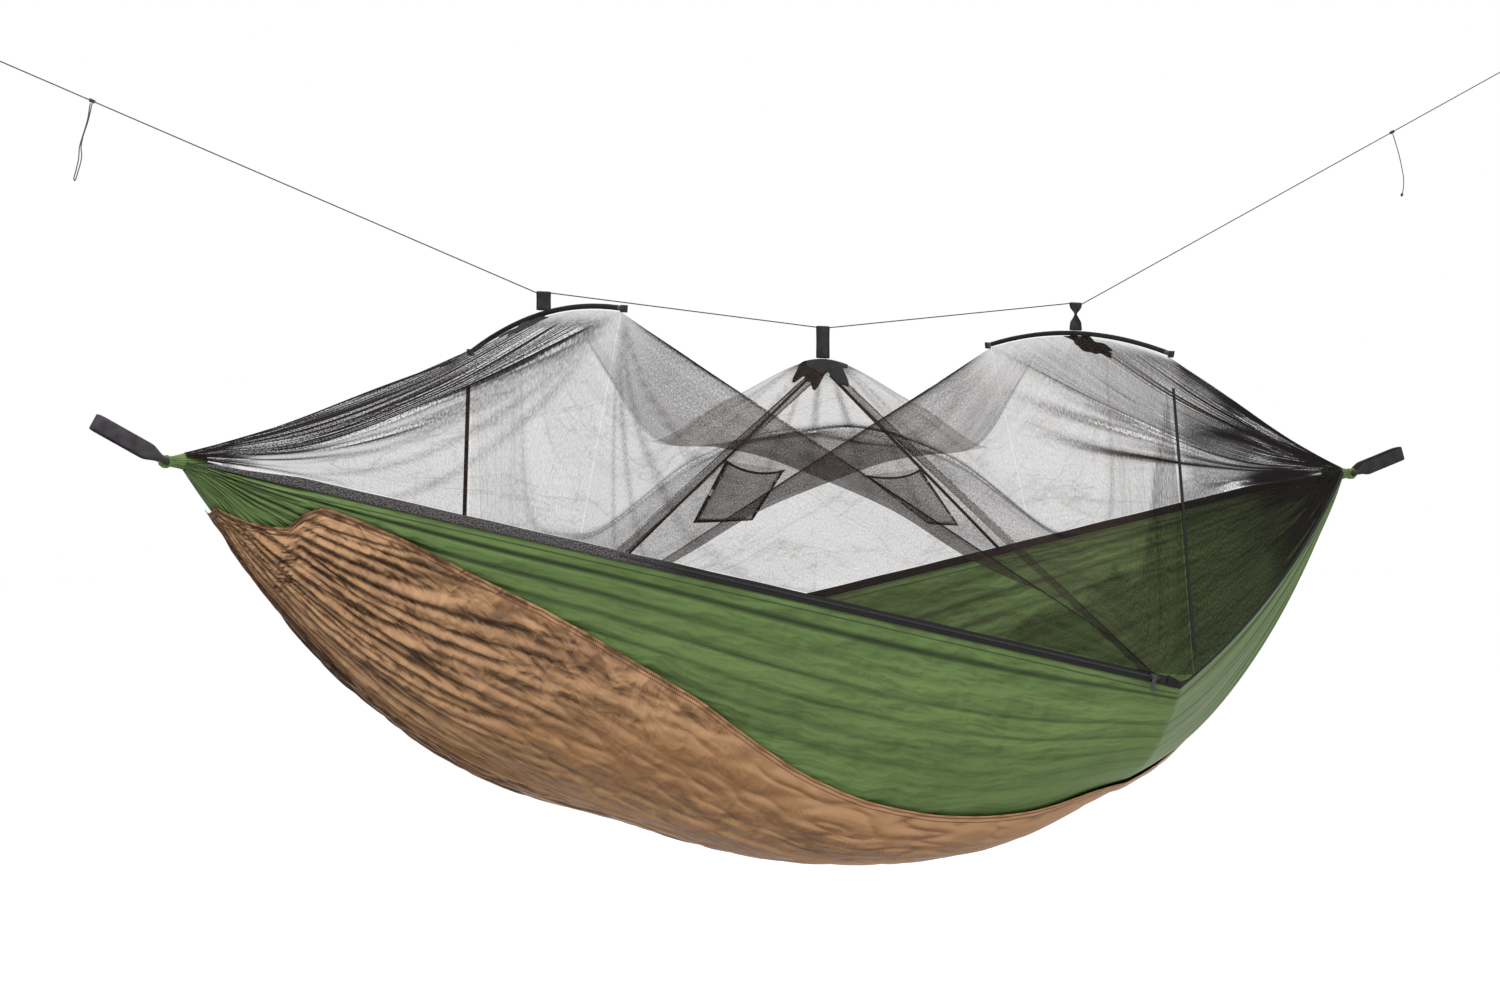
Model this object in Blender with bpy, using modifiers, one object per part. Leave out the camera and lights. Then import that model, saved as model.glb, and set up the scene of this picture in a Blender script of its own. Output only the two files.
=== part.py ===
"""Gathered-end hammock with a second under-layer and a bug net on two bent rods.

Metres, +Z up. The pieces are laid out round the middle of the hammock, with X from the
left gather to the right one and Y to the far side. The frame empty then moves that layout
so that the world origin is the flat bearing face inside the left webbing loop.
The whole hammock is point-symmetric: a half turn about Z maps the near side on the far one.
"""

import math

import bmesh
import bpy
import numpy as np
from mathutils import Matrix, Vector

# Hammock sheet: gathers, corners and belly
HALF_SPAN = 1.18
SHEET_INSET = 0.030
CORNER_ALONG = 0.495
CORNER_OUT = 0.379
CORNER_DROP = 0.382
BELLY_DROP = 0.672
BELLY_SHIFT = 0.110
EDGE_BULGE = 0.030
END_RADIUS = 0.0145
SHEET_THICK = 0.0020
PLEAT_HEIGHT = 0.0060

# Under-layer below the sheet
LAYER_THICK = 0.0014
LAYER_SEAM_GAP = 0.0052
LAYER_HANG = 0.018
LAYER_FOLD = 0.0050

# Gathered ends
NECK_RADIUS = 0.0123
NECK_PLEAT = 0.0007
NECK_REACH = 0.066
NECK_ROUND = 0.010
EYE_WALL = 0.0056
EYE_LENGTH = 0.0150

# Webbing loops at the gathers
STRAP_WIDTH = 0.025
STRAP_THICK = 0.0022
BUNDLE_RADIUS = 0.0043
LOOP_CORNER = 0.0056
LEFT_REACH = 0.1290
RIGHT_REACH = 0.1330
BUNDLE_FADE = 0.030

# Hem bands and zip
BAND_WIDTH = 0.0150
BAND_THICK = 0.0016
BAND_START = 0.180
BAND_STOP = 0.025
SEAM_GAP = 0.0008
CHAIN_WIDTH = 0.0040
CHAIN_THICK = 0.0020
CHAIN_STOP = 0.014
SLIDER_LENGTH = 0.0140
SLIDER_WIDTH = 0.0100
SLIDER_PLATE = 0.0016
EAR_THICK = 0.0016
EAR_WIDTH = 0.0036
PIN_RADIUS = 0.0007
PULL_LENGTH = 0.0240
PULL_WIDTH = 0.0070
PULL_THICK = 0.0012
PULL_BARREL = 0.0019

# Spreader rods, sleeves and end fittings
ROD_STATION = 0.535
ROD_REACH = 0.249
ROD_HEIGHT = 0.227
ROD_TILT = 0.021
ROD_SKEW = 0.029
ROD_BOW = 0.0285
ROD_RADIUS = 0.0025
SLEEVE_WALL = 0.0014
CAP_LENGTH = 0.014
CAP_FLOOR = 0.0040
TAB_WIDTH = 0.014
TAB_LENGTH = 0.012
TAB_THICK = 0.0016

# Bug net
NET_THICK = 0.0014
PEAK_HEIGHT = 0.1914
PATCH_THICK = 0.0012
PATCH_LENGTH = 0.055

# Tapes and pockets
TAPE_WIDTH = 0.0180
THIN_TAPE_WIDTH = 0.0060
TAPE_THICK = 0.0012
TAPE_FOOT = 0.475
TAPE_DROP = 0.026
SEAM_TAPE_WIDTH = 0.0100
POCKET_DEPTH = 0.014
POCKET_WALL = 0.0012
POCKET_OVERCUT = 0.004
TRIM_WIDTH = 0.0050
TRIM_THICK = 0.0012

# Ridge line, its hangers and sliding knots
CORD_RADIUS = 0.0010
LEFT_END_ALONG = 1.475
LEFT_END_RISE = 0.3346
RIGHT_END_ALONG = 1.600
RIGHT_END_RISE = 0.5240
CORD_POINT_STEP = 0.060
HANGER_WIDTH = 0.025
HANGER_THICK = 0.0013
HANGER_BORE = 0.0017
HANGER_WAIST = 0.0090
LEFT_HANGER_LENGTH = 0.03185
MIDDLE_HANGER_LENGTH = 0.05695
RIGHT_HANGER_LENGTH = 0.05185
KNOT_RADIUS = 0.0032
KNOT_LENGTH = 0.0110
LEFT_KNOT_ALONG = 1.2967
RIGHT_KNOT_ALONG = 1.2857
DROP_RADIUS = 0.0009
DROP_LENGTH = 0.122

# The gap that every two pieces keep
CLEAR = 0.0003

# Proportions without a length
LEFT_LIFT_DEGREES = 28.5
RIGHT_LIFT_DEGREES = 18.5
BELLY_POWER_SHARE = 2.3
KEEL_POWER_SHARE = 2.1
ROUND_END_SHARE = 0.10
PLEAT_REACH_SHARE = 0.55
PLEATS = 6
NET_END_DEGREES = 62
ROUND_SIDES = 12

SHEET_HALF = HALF_SPAN - SHEET_INSET
SLEEVE_BORE = ROD_RADIUS + 2 * CLEAR
SLEEVE_RADIUS = SLEEVE_BORE + SLEEVE_WALL
NET_UNDER_ROD = SLEEVE_RADIUS + CLEAR + NET_THICK / 2


def point(x, y, z):
    """A place in the hammock's layout."""
    return np.array((x, y, z), float)


def turned(place):
    """The same place after a half turn about Z."""
    return place * np.array((-1, -1, 1))


def unit(vector):
    """The vector at length one."""
    return vector / np.linalg.norm(vector)


def between(low, high, share):
    """A smooth step from 0 at low to 1 at high."""
    t = min(max((share - low) / (high - low), 0), 1)
    return t * t * (3 - 2 * t)


UP = point(0, 0, 1)
NEAR_CORNER = point(CORNER_ALONG, -CORNER_OUT, -CORNER_DROP)
LEFT_NEAR_END = point(-ROD_STATION + ROD_SKEW, -ROD_REACH, ROD_HEIGHT + ROD_TILT)
LEFT_FAR_END = point(-ROD_STATION - ROD_SKEW, ROD_REACH, ROD_HEIGHT - ROD_TILT)
PEAK = point(0, 0, PEAK_HEIGHT)


def near_hem(x):
    """The near edge of the sheet: a long straight run to the corner, then a slack short one."""
    left = point(-SHEET_HALF, -END_RADIUS, 0)
    right = point(SHEET_HALF, -END_RADIUS, 0)
    if x <= CORNER_ALONG:
        return left + (NEAR_CORNER - left) * (x + SHEET_HALF) / (CORNER_ALONG + SHEET_HALF)
    share = (x - CORNER_ALONG) / (SHEET_HALF - CORNER_ALONG)
    slack = unit(NEAR_CORNER + PEAK * -2) * EDGE_BULGE
    return NEAR_CORNER + (right - NEAR_CORNER) * share + slack * 4 * share * (1 - share)


def far_hem(x):
    """The far edge of the sheet."""
    return turned(near_hem(-x))


# Where the second layer draws the belly up: along the half length, its reach, its height
KEEL_PULL_SHARES = ((-0.348, 0.243, 0.067), (0.391, 0.104, 0.045))


def keel(x):
    """The lowest line of the belly, which swings to one side and back."""
    share = x / SHEET_HALF
    fall = (BELLY_DROP - END_RADIUS) * (1 - abs(share) ** KEEL_POWER_SHARE)
    for along, reach, height in KEEL_PULL_SHARES:
        pull = math.exp(-(((share - along) / reach) ** 2)) * (1 - share * share)
        fall -= BELLY_DROP * height * pull
    return point(x, -BELLY_SHIFT * math.sin(math.pi * share), -END_RADIUS - fall)


def smooth_sheet(x, w):
    """The sheet without pleats: w runs from -1 at the near hem to 1 at the far one."""
    near, far, low = near_hem(x), far_hem(x), keel(x)
    ringed = between(1 - ROUND_END_SHARE, 1, abs(x) / SHEET_HALF)
    across = (1 - ringed) * w + ringed * math.sin(math.pi * w / 2)
    below = (1 - ringed) * (1 - abs(w) ** BELLY_POWER_SHARE) + ringed * math.cos(math.pi * w / 2)
    middle = (near + far) / 2
    return middle + (far - near) / 2 * across + (low - middle) * below


def outward(surface, a, b, step_share=0.004):
    """The unit normal of surface(a, b), by differences, on the side of a cross b."""
    along = surface(a + step_share, b) - surface(a - step_share, b)
    across = surface(a, b + step_share) - surface(a, b - step_share)
    return unit(np.cross(along, across))


def sheet_by_share(a, w):
    """The smooth sheet at a share of its half length."""
    return smooth_sheet(a * SHEET_HALF, w)


def sheet_normal(a, w):
    """The sheet's normal on its outer, lower side."""
    inner = min(max(a, -0.99), 0.99)
    side = min(max(w, -0.99), 0.99)
    return -outward(sheet_by_share, inner, side)


# The near seam of the under-layer, as shares of the sheet's half length and of its half width
LAYER_SEAM_SHARES = (
    (-0.93, -0.46),
    (-0.904, -0.70),
    (-0.861, -0.76),
    (-0.843, -0.88),
    (-0.817, -0.95),
    (-0.704, -0.92),
    (-0.609, -0.88),
    (-0.504, -0.84),
    (-0.391, -0.78),
    (-0.261, -0.72),
    (-0.183, -0.66),
    (-0.104, -0.60),
    (0, -0.54),
    (0.113, -0.50),
    (0.235, -0.48),
    (0.36, -0.46),
    (0.522, -0.445),
    (0.93, -0.44),
)
LAYER_END_SHARE = 0.915


def layer_seam(a):
    """Where the near seam crosses the sheet at share a of its half length."""
    return np.interp(a, *zip(*LAYER_SEAM_SHARES))


def pleated_sheet(a, w):
    """The sheet with the pleats that fan out from both gathers, flat where the second layer is."""
    reach = min((1 - abs(a)) / PLEAT_REACH_SHARE, 1)
    bare = between(0, 0.2, layer_seam(a) - w) + between(0, 0.2, w + layer_seam(-a))
    shown = min(bare + between(0.93, 1, abs(a)), 1)
    height = PLEAT_HEIGHT * math.sin(math.pi * reach) * (1 - w ** 6) * shown
    wave = math.sin(math.pi * PLEATS * w + math.copysign(1, a) * w)
    return sheet_by_share(a, w) + sheet_normal(a, w) * height * wave


def under_layer(along, across):
    """The second layer: sewn to the sheet round its edge and hanging a little below it."""
    a = LAYER_END_SHARE * (2 * along - 1)
    near, far = layer_seam(a), -layer_seam(-a)
    w = near + (far - near) * across
    edge = (1 - abs(2 * across - 1) ** 4) * (1 - abs(2 * along - 1) ** 8)
    fold = LAYER_FOLD * edge * math.sin(9 * w + 4 * a + 2 * math.sin(5 * a))
    seat = SHEET_THICK / 2 + LAYER_SEAM_GAP + LAYER_THICK / 2
    middle = (1 - (2 * along - 1) ** 2) ** 1.5
    hang = LAYER_HANG * edge * middle * between(1, 0.4, abs(w)) + fold * between(0, 0.35, edge)
    return sheet_by_share(a, w) + sheet_normal(a, w) * (seat + LAYER_FOLD * edge + hang)


# Hem band, along the long straight run of the near hem
HEM_START = point(-SHEET_HALF, -END_RADIUS, 0)
HEM_ALONG = unit(NEAR_CORNER - HEM_START)
HEM_OUT = unit(np.cross(HEM_ALONG, UP)) * -1
HEM_UP = np.cross(HEM_OUT, HEM_ALONG)
if HEM_UP[2] < 0:
    HEM_UP = -HEM_UP
if HEM_OUT[1] > 0:
    HEM_OUT = -HEM_OUT
HEM_LENGTH = float(np.linalg.norm(NEAR_CORNER - HEM_START))
BAND_MIDDLE = SEAM_GAP + BAND_WIDTH / 2
NET_LIFT = (2 * SEAM_GAP + BAND_WIDTH) / HEM_UP[2]


def on_hem(along, up, out):
    """A place by its distance along the long near hem, above it and outside it."""
    return HEM_START + HEM_ALONG * along + HEM_UP * up + HEM_OUT * out


def net_foot(x):
    """The lower edge of the net, above the band on the long run and close to the hem beyond."""
    reach = (HEM_LENGTH - BAND_STOP) * HEM_ALONG[0] - SHEET_HALF
    end = END_RADIUS * math.cos(math.radians(NET_END_DEGREES))
    knots = (-SHEET_HALF, BAND_START / 2 - SHEET_HALF, reach, CORNER_ALONG + BAND_STOP, SHEET_HALF)
    lift = np.interp(x, knots, (end, NET_LIFT, NET_LIFT, 3 * SEAM_GAP, end))
    narrow = END_RADIUS * (1 - math.sin(math.radians(NET_END_DEGREES)))
    inward = np.interp(abs(x) / SHEET_HALF, (1 - ROUND_END_SHARE, 1), (0, narrow))
    return near_hem(x) + UP * lift + point(0, inward, 0)


def rod(side, s):
    """The rod's axis, side -1 for the left one, from s = -1 at its near end to 1 at its far end."""
    near = LEFT_NEAR_END if side < 0 else turned(LEFT_FAR_END)
    far = LEFT_FAR_END if side < 0 else turned(LEFT_NEAR_END)
    return near + (far - near) * (s + 1) / 2 + UP * ROD_BOW * (1 - s * s)


def rod_seat(side, s):
    """The net's line just under the rod's sleeve."""
    return rod(side, s) - UP * NET_UNDER_ROD


def taut_line(x):
    """The taut fold of the net, from the left rod's near end to the near corner."""
    top = rod_seat(-1, -1)
    foot = net_foot(CORNER_ALONG)
    return top + (foot - top) * (x - top[0]) / (foot[0] - top[0])


# Rails of the near half of the net at each station, as shares: along of the sheet's half length,
# and for the shoulder, fold and inner rails (out, up) of the rod's reach and height, then the crest
TAUT = None
LEFT_END_SHARES = (
    (-0.852, (0.272, 0.100), (0.214, 0.120), (0.117, 0.167), 0.242),
    (-0.661, (0.623, 0.489), (0.467, 0.493), (0.233, 0.533), 0.595),
)
MIDDLE_SHARES = (
    (-0.396, TAUT, (0.739, 0.705), (0.350, 0.661), 0.529),
    (-0.322, TAUT, (0.739, 0.352), (0.350, 0.198), 0.198),
    (-0.157, TAUT, (0.837, 0.000), (0.428, 0.220), 0.529),
    (0.0, TAUT, (0.973, -0.330), (0.467, 0.330), 1.0),
    (0.157, TAUT, (1.051, -0.771), (0.537, 0.100), 0.529),
    (0.322, TAUT, (1.270, -1.090), (0.810, -0.500), 0.198),
    (0.396, TAUT, (1.342, -1.405), (0.778, -0.441), 0.529),
)
RIGHT_END_SHARES = (
    (0.661, (0.670, 0.600), (0.506, 0.600), (0.233, 0.590), 0.595),
    (0.852, (0.300, 0.262), (0.233, 0.260), (0.117, 0.250), 0.242),
)


def ring_rails(side):
    """The near rails where the net is gathered, on a ring round the neck."""
    degrees = [NET_END_DEGREES * share for share in (1, 0.75, 0.5, 0.25, 0)]
    angles = [math.radians(value) for value in degrees]
    x = side * SHEET_HALF
    return [point(x, -END_RADIUS * math.sin(t), END_RADIUS * math.cos(t)) for t in angles]


def rod_rails(side):
    """The near rails where the net hangs on a rod."""
    seats = [rod_seat(side, s) for s in (-1, -0.667, -0.333, 0)]
    return [net_foot(side * ROD_STATION)] + seats


def open_rails(row):
    """The near rails at a row of shares."""
    along, shoulder, fold, inner, crest = row
    x = along * SHEET_HALF
    top = PEAK_HEIGHT if crest == 1 else crest * ROD_HEIGHT
    places = [point(x, -out * ROD_REACH, up * ROD_HEIGHT) for out, up in (fold, inner)]
    if shoulder is TAUT:
        edge = taut_line(x)
    else:
        edge = point(x, -shoulder[0] * ROD_REACH, shoulder[1] * ROD_HEIGHT)
    return [net_foot(x), edge, *places, point(x, 0, top)]


def stations():
    """All near half stations from the left gather to the right one."""
    rows = [ring_rails(-1)]
    rows += [open_rails(row) for row in LEFT_END_SHARES]
    rows += [rod_rails(-1)]
    rows += [open_rails(row) for row in MIDDLE_SHARES]
    rows += [rod_rails(1)]
    rows += [open_rails(row) for row in RIGHT_END_SHARES]
    rows += [ring_rails(1)]
    return rows


def whole_sections():
    """Each station from the near foot over the crest to the far foot."""
    near = stations()
    far = [[turned(place) for place in row] for row in reversed(near)]
    return [row + other[-2::-1] for row, other in zip(near, far)]


def tangent(before, here, after):
    """The direction of a curve at a point, weighted by the nearer neighbour."""
    back = np.linalg.norm(here - before) or 1
    ahead = np.linalg.norm(after - here) or 1
    return (here - before) / back * ahead / (back + ahead) + (after - here) / ahead * back / (back + ahead)


def through(places, t):
    """A smooth curve through the places, at parameter t counted in places."""
    last = len(places) - 1
    i = min(int(t), last - 1)
    f = t - i
    start, end = places[i], places[i + 1]
    before = places[i - 1] if i > 0 else 2 * start - end
    after = places[i + 2] if i + 2 <= last else 2 * end - start
    length = np.linalg.norm(end - start)
    leave = tangent(before, start, end) * min(length, 2 * np.linalg.norm(start - before))
    arrive = tangent(start, end, after) * min(length, 2 * np.linalg.norm(after - end))
    rest = f * f * (3 - 2 * f)
    return (1 - rest) * start + rest * end + f * (1 - f) ** 2 * leave - f * f * (1 - f) * arrive


def over_section(section, v):
    """A place over one section: flat up to the taut fold, then a smooth curve to the other fold."""
    rail = v * RAILS
    if rail <= 1:
        return section[0] + (section[1] - section[0]) * rail
    if rail >= RAILS - 1:
        return section[-1] + (section[-2] - section[-1]) * (RAILS - rail)
    return through(section[1:-1], rail - 1)


SECTIONS = whole_sections()
LEFT_ROD_STATION = 3
RIGHT_ROD_STATION = 11
LAST_STATION = 14
RAILS = 8
NET_ROWS = 24
END_COLUMNS = 12
MIDDLE_COLUMNS = 24


def net(first, last, u, v):
    """The net panel between two stations, u along it from 0 to 1 and v over it from 0 to 1."""
    rows = [over_section(section, v) for section in SECTIONS[first : last + 1]]
    return through(rows, u * (last - first))


# Scene, materials and builders
for leftover in list(bpy.data.objects):
    bpy.data.objects.remove(leftover, do_unlink=True)

PARTS = bpy.data.collections.new("hammock_tent")
CUTTERS = bpy.data.collections.new("cutters")
bpy.context.scene.collection.children.link(PARTS)
bpy.context.scene.collection.children.link(CUTTERS)

FRAME = bpy.data.objects.new("hammock_frame", None)
PARTS.objects.link(FRAME)
ORIGIN = point(0, 0, 0)


def finish(name, colour, roughness, metallic=0.0):
    """A Principled material."""
    material = bpy.data.materials.new(name)
    material.use_nodes = True
    shader = material.node_tree.nodes["Principled BSDF"]
    shader.inputs["Base Color"].default_value = (*colour, 1)
    shader.inputs["Roughness"].default_value = roughness
    shader.inputs["Metallic"].default_value = metallic
    material.diffuse_color = (*colour, 1)
    return material


GREEN = finish("sheet_green", (0.14, 0.21, 0.08), 0.75)
BROWN = finish("layer_brown", (0.30, 0.17, 0.08), 0.75)
NETTING = finish("net_grey", (0.10, 0.09, 0.09), 0.80)
WEBBING = finish("webbing_black", (0.06, 0.05, 0.055), 0.85)
TRIM = finish("trim_black", (0.02, 0.02, 0.02), 0.80)
ROD = finish("rod_dark", (0.05, 0.05, 0.05), 0.35)
CORDAGE = finish("cord_dark", (0.05, 0.045, 0.045), 0.75)
TOOTH = finish("zip_grey", (0.12, 0.12, 0.12), 0.50)
METAL = finish("zip_metal", (0.35, 0.35, 0.35), 0.35, 0.9)


def add_object(name, mesh, material, pivot=ORIGIN, collection=PARTS):
    """A named object from a bmesh whose points are in the layout, with its origin at the pivot."""
    bmesh.ops.translate(mesh, verts=mesh.verts, vec=Vector(-pivot))
    bmesh.ops.recalc_face_normals(mesh, faces=mesh.faces)
    data = bpy.data.meshes.new(name)
    mesh.to_mesh(data)
    mesh.free()
    data.materials.append(material)
    item = bpy.data.objects.new(name, data)
    item.location = pivot
    collection.objects.link(item)
    item.parent = FRAME
    return item


def smooth(item, degrees=35):
    """Rounded shading with sharp edges kept."""
    item.data.shade_smooth()
    item.data.set_sharp_from_angle(angle=math.radians(degrees))
    return item


def cloth(name, surface, columns, rows, thick, material):
    """A unit grid laid on surface(u, v), then given its thickness."""
    mesh = bmesh.new()
    bmesh.ops.create_grid(mesh, x_segments=columns, y_segments=rows, size=1)
    for vertex in mesh.verts:
        u = round((vertex.co.x + 1) / 2 * columns) / columns
        v = round((vertex.co.y + 1) / 2 * rows) / rows
        vertex.co = surface(u, v)
    item = smooth(add_object(name, mesh, material), 80)
    skin = item.modifiers.new("Thickness", "SOLIDIFY")
    skin.thickness = thick
    skin.offset = 0
    return item


def box(name, centre, axes, sizes, material, pivot=ORIGIN, collection=PARTS):
    """A box by its centre, its three axes and its three sizes."""
    mesh = bmesh.new()
    bmesh.ops.create_cube(mesh, size=1)
    columns = [Vector(axis * size) for axis, size in zip(axes, sizes)]
    place = Matrix.Translation(Vector(centre)) @ Matrix(columns).transposed().to_4x4()
    bmesh.ops.transform(mesh, matrix=place, verts=mesh.verts)
    return add_object(name, mesh, material, pivot, collection)


def rod_between(name, start, end, radius, material, pivot=ORIGIN, collection=PARTS):
    """A straight round bar."""
    mesh = bmesh.new()
    span = Vector(end - start)
    bmesh.ops.create_cone(
        mesh,
        cap_ends=True,
        segments=ROUND_SIDES,
        radius1=radius,
        radius2=radius,
        depth=span.length,
    )
    turn = span.to_track_quat("Z", "Y").to_matrix().to_4x4()
    place = Matrix.Translation(Vector((start + end) / 2)) @ turn
    bmesh.ops.transform(mesh, matrix=place, verts=mesh.verts)
    return smooth(add_object(name, mesh, material, pivot, collection))


def tube(name, places, radius, material, pivot=ORIGIN):
    """A solid round cord or rod along the places."""
    data = bpy.data.curves.new(name, "CURVE")
    data.dimensions = "3D"
    data.bevel_depth = radius
    data.bevel_resolution = 2
    data.use_fill_caps = True
    spline = data.splines.new("POLY")
    spline.points.add(len(places) - 1)
    for target, place in zip(spline.points, places):
        target.co = (*(place - pivot), 1)
    data.materials.append(material)
    item = bpy.data.objects.new(name, data)
    item.location = pivot
    PARTS.objects.link(item)
    item.parent = FRAME
    return item


def loft(rings, round_trip):
    """A skin over rings of equal count, capped at both ends unless it comes round again."""
    mesh = bmesh.new()
    loops = [[mesh.verts.new(place) for place in ring] for ring in rings]
    following = loops[1:] + loops[:1] if round_trip else loops[1:]
    for first, second in zip(loops, following):
        for i, corner in enumerate(first):
            j = (i + 1) % len(first)
            mesh.faces.new((corner, first[j], second[j], second[i]))
    if not round_trip:
        mesh.faces.new(loops[0])
        mesh.faces.new(loops[-1])
    return mesh


def turned_piece(name, profile, centre, axis, material, closed=False):
    """A profile of (radius, height) points, outer side downwards, screwed round an axis."""
    mesh = bmesh.new()
    verts = [mesh.verts.new((radius, 0, height)) for radius, height in profile]
    pairs = list(zip(verts, verts[1:]))
    if closed:
        pairs.append((verts[-1], verts[0]))
    for first, second in pairs:
        mesh.edges.new((first, second))
    data = bpy.data.meshes.new(name)
    mesh.to_mesh(data)
    mesh.free()
    data.materials.append(material)
    item = bpy.data.objects.new(name, data)
    item.location = centre
    item.rotation_mode = "QUATERNION"
    item.rotation_quaternion = Vector(axis).to_track_quat("Z", "Y")
    PARTS.objects.link(item)
    item.parent = FRAME
    screw = item.modifiers.new("Turn", "SCREW")
    screw.steps = ROUND_SIDES
    screw.render_steps = ROUND_SIDES
    screw.use_merge_vertices = True
    screw.merge_threshold = CLEAR / 10
    screw.use_smooth_shade = True
    return item


def combine(item, other, operation):
    """A Boolean with a helper, which is kept hidden."""
    tool = item.modifiers.new(other.name, "BOOLEAN")
    tool.operation = operation
    tool.solver = "EXACT"
    tool.object = other
    other.hide_render = True
    other.display_type = "WIRE"
    return item


# Hanging bed
def sheet_surface(u, v):
    """The sheet over its grid, with closer columns near the gathers."""
    a = math.sin(math.pi / 2 * (2 * u - 1) * 0.8) / math.sin(math.pi / 2 * 0.8)
    return pleated_sheet(a, 2 * v - 1)


def add_bed():
    """The sheet, its second layer and the hem bands."""
    cloth("hammock_body", sheet_surface, 24, 24, SHEET_THICK, GREEN)
    cloth("under_layer", under_layer, 24, 22, LAYER_THICK, BROWN)
    length = HEM_LENGTH - BAND_START - BAND_STOP
    centre = on_hem(BAND_START + length / 2, BAND_MIDDLE, 0)
    axes = (HEM_ALONG, HEM_UP, HEM_OUT)
    sizes = (length, BAND_WIDTH, BAND_THICK)
    box("near_hem_band", centre, axes, sizes, TRIM)
    flipped = [turned(axis) for axis in axes]
    box("far_hem_band", turned(centre), flipped, sizes, TRIM)


def neck_ring(side, x, radius):
    """One ring of the gathered neck, with a pleat at every other point."""
    places = []
    for i in range(4 * PLEATS):
        angle = math.pi * i / (2 * PLEATS)
        reach = radius + (NECK_PLEAT if i % 2 else -NECK_PLEAT)
        places.append(point(side * x, reach * math.cos(angle), reach * math.sin(angle)))
    return places


def add_gather(name, side):
    """The pleated neck of the sheet with the eye that the webbing passes through."""
    eye_bore = BUNDLE_RADIUS + 2 * CLEAR
    eye_radius = eye_bore + EYE_WALL
    inner = HALF_SPAN - NECK_REACH
    rows = (
        (inner, NECK_RADIUS - NECK_ROUND / 2),
        (inner + NECK_ROUND / 2, NECK_RADIUS),
        (SHEET_HALF + CLEAR, NECK_RADIUS),
        (HALF_SPAN - eye_bore - EYE_WALL / 2, eye_radius * 0.75),
    )
    mesh = loft([neck_ring(side, x, radius) for x, radius in rows], False)
    neck = smooth(add_object(name, mesh, GREEN))
    middle = point(side * HALF_SPAN, 0, 0)
    half = point(0, EYE_LENGTH / 2, 0)
    ends = (middle - half, middle + half)
    eye = rod_between(name + "_eye", *ends, eye_radius, GREEN, ORIGIN, CUTTERS)
    ends = (middle - half * 2, middle + half * 2)
    bore = rod_between(name + "_bore", *ends, eye_bore, GREEN, ORIGIN, CUTTERS)
    combine(neck, eye, "UNION")
    combine(neck, bore, "DIFFERENCE")


# Webbing loops
def strap_section(flat):
    """Eight points (across, along the width) from a round bundle at 0 to a flat strap at 1."""
    thick, wide = STRAP_THICK / 2, STRAP_WIDTH / 2
    edge = STRAP_THICK / 4
    corners = (
        (thick, wide - edge),
        (thick - edge, wide),
        (edge - thick, wide),
        (-thick, wide - edge),
        (-thick, edge - wide),
        (edge - thick, -wide),
        (thick - edge, -wide),
        (thick, edge - wide),
    )
    section = []
    for i, (across, along) in enumerate(corners):
        angle = math.radians(22.5 + 45 * i)
        reach = BUNDLE_RADIUS
        round_across, round_along = reach * math.cos(angle), reach * math.sin(angle)
        section.append(
            (round_across + (across - round_across) * flat, round_along + (along - round_along) * flat)
        )
    return section


def loop_path(reach):
    """(pull, side, heading) round the loop: through the eye, out, round the far bend and back."""
    half = EYE_LENGTH / 2
    bend = half + LOOP_CORNER
    path = [(0, 0, 0), (0, half, 0)]
    for i in (1, 2, 3):
        t = math.radians(30 * i)
        path.append((LOOP_CORNER * (1 - math.cos(t)), half + LOOP_CORNER * math.sin(t), t))
    straight = reach - bend - LOOP_CORNER
    path += [(LOOP_CORNER + straight * share, bend, math.pi / 2) for share in (0.08, 0.16, 0.3, 0.6)]
    for i in range(8):
        t = math.pi * i / 7
        path.append((reach - bend + bend * math.sin(t), bend * math.cos(t), math.pi / 2 + t))
    back = [(pull, -side, -heading) for pull, side, heading in path[1:9]]
    return path + back[::-1]


def add_webbing_loop(name, side, reach, degrees):
    """A flat webbing loop, bunched where it passes through the eye; its origin is the eye's centre."""
    lift = math.radians(degrees)
    pull = point(side * math.cos(lift), 0, math.sin(lift))
    width = point(-side * math.sin(lift), 0, math.cos(lift))
    centre = point(side * HALF_SPAN, 0, 0)
    rings = []
    for out, across, heading in loop_path(reach):
        normal = pull * -math.cos(heading) + point(0, math.sin(heading), 0)
        middle = centre + pull * out + point(0, across, 0)
        flat = between(LOOP_CORNER, LOOP_CORNER + BUNDLE_FADE, out)
        rings.append([middle + normal * a + width * b for a, b in strap_section(flat)])
    smooth(add_object(name, loft(rings, True), WEBBING, centre), 40)


def bearing_face(side, reach, degrees):
    """The middle of the flat facet inside the far bend of a webbing loop."""
    lift = math.radians(degrees)
    bend = (EYE_LENGTH / 2 + LOOP_CORNER) * math.cos(math.pi / 14)
    out = reach - EYE_LENGTH / 2 - LOOP_CORNER + bend - STRAP_THICK / 2 * math.cos(math.pi / 14)
    return point(side * (HALF_SPAN + out * math.cos(lift)), 0, out * math.sin(lift))


# Bug net
def panel(first, last):
    """The surface of the net between two stations, kept clear of its neighbours at both ends."""
    trim_share = NET_THICK / HALF_SPAN

    def surface(u, v):
        return net(first, last, trim_share + u * (1 - 2 * trim_share), v)

    return surface


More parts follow.
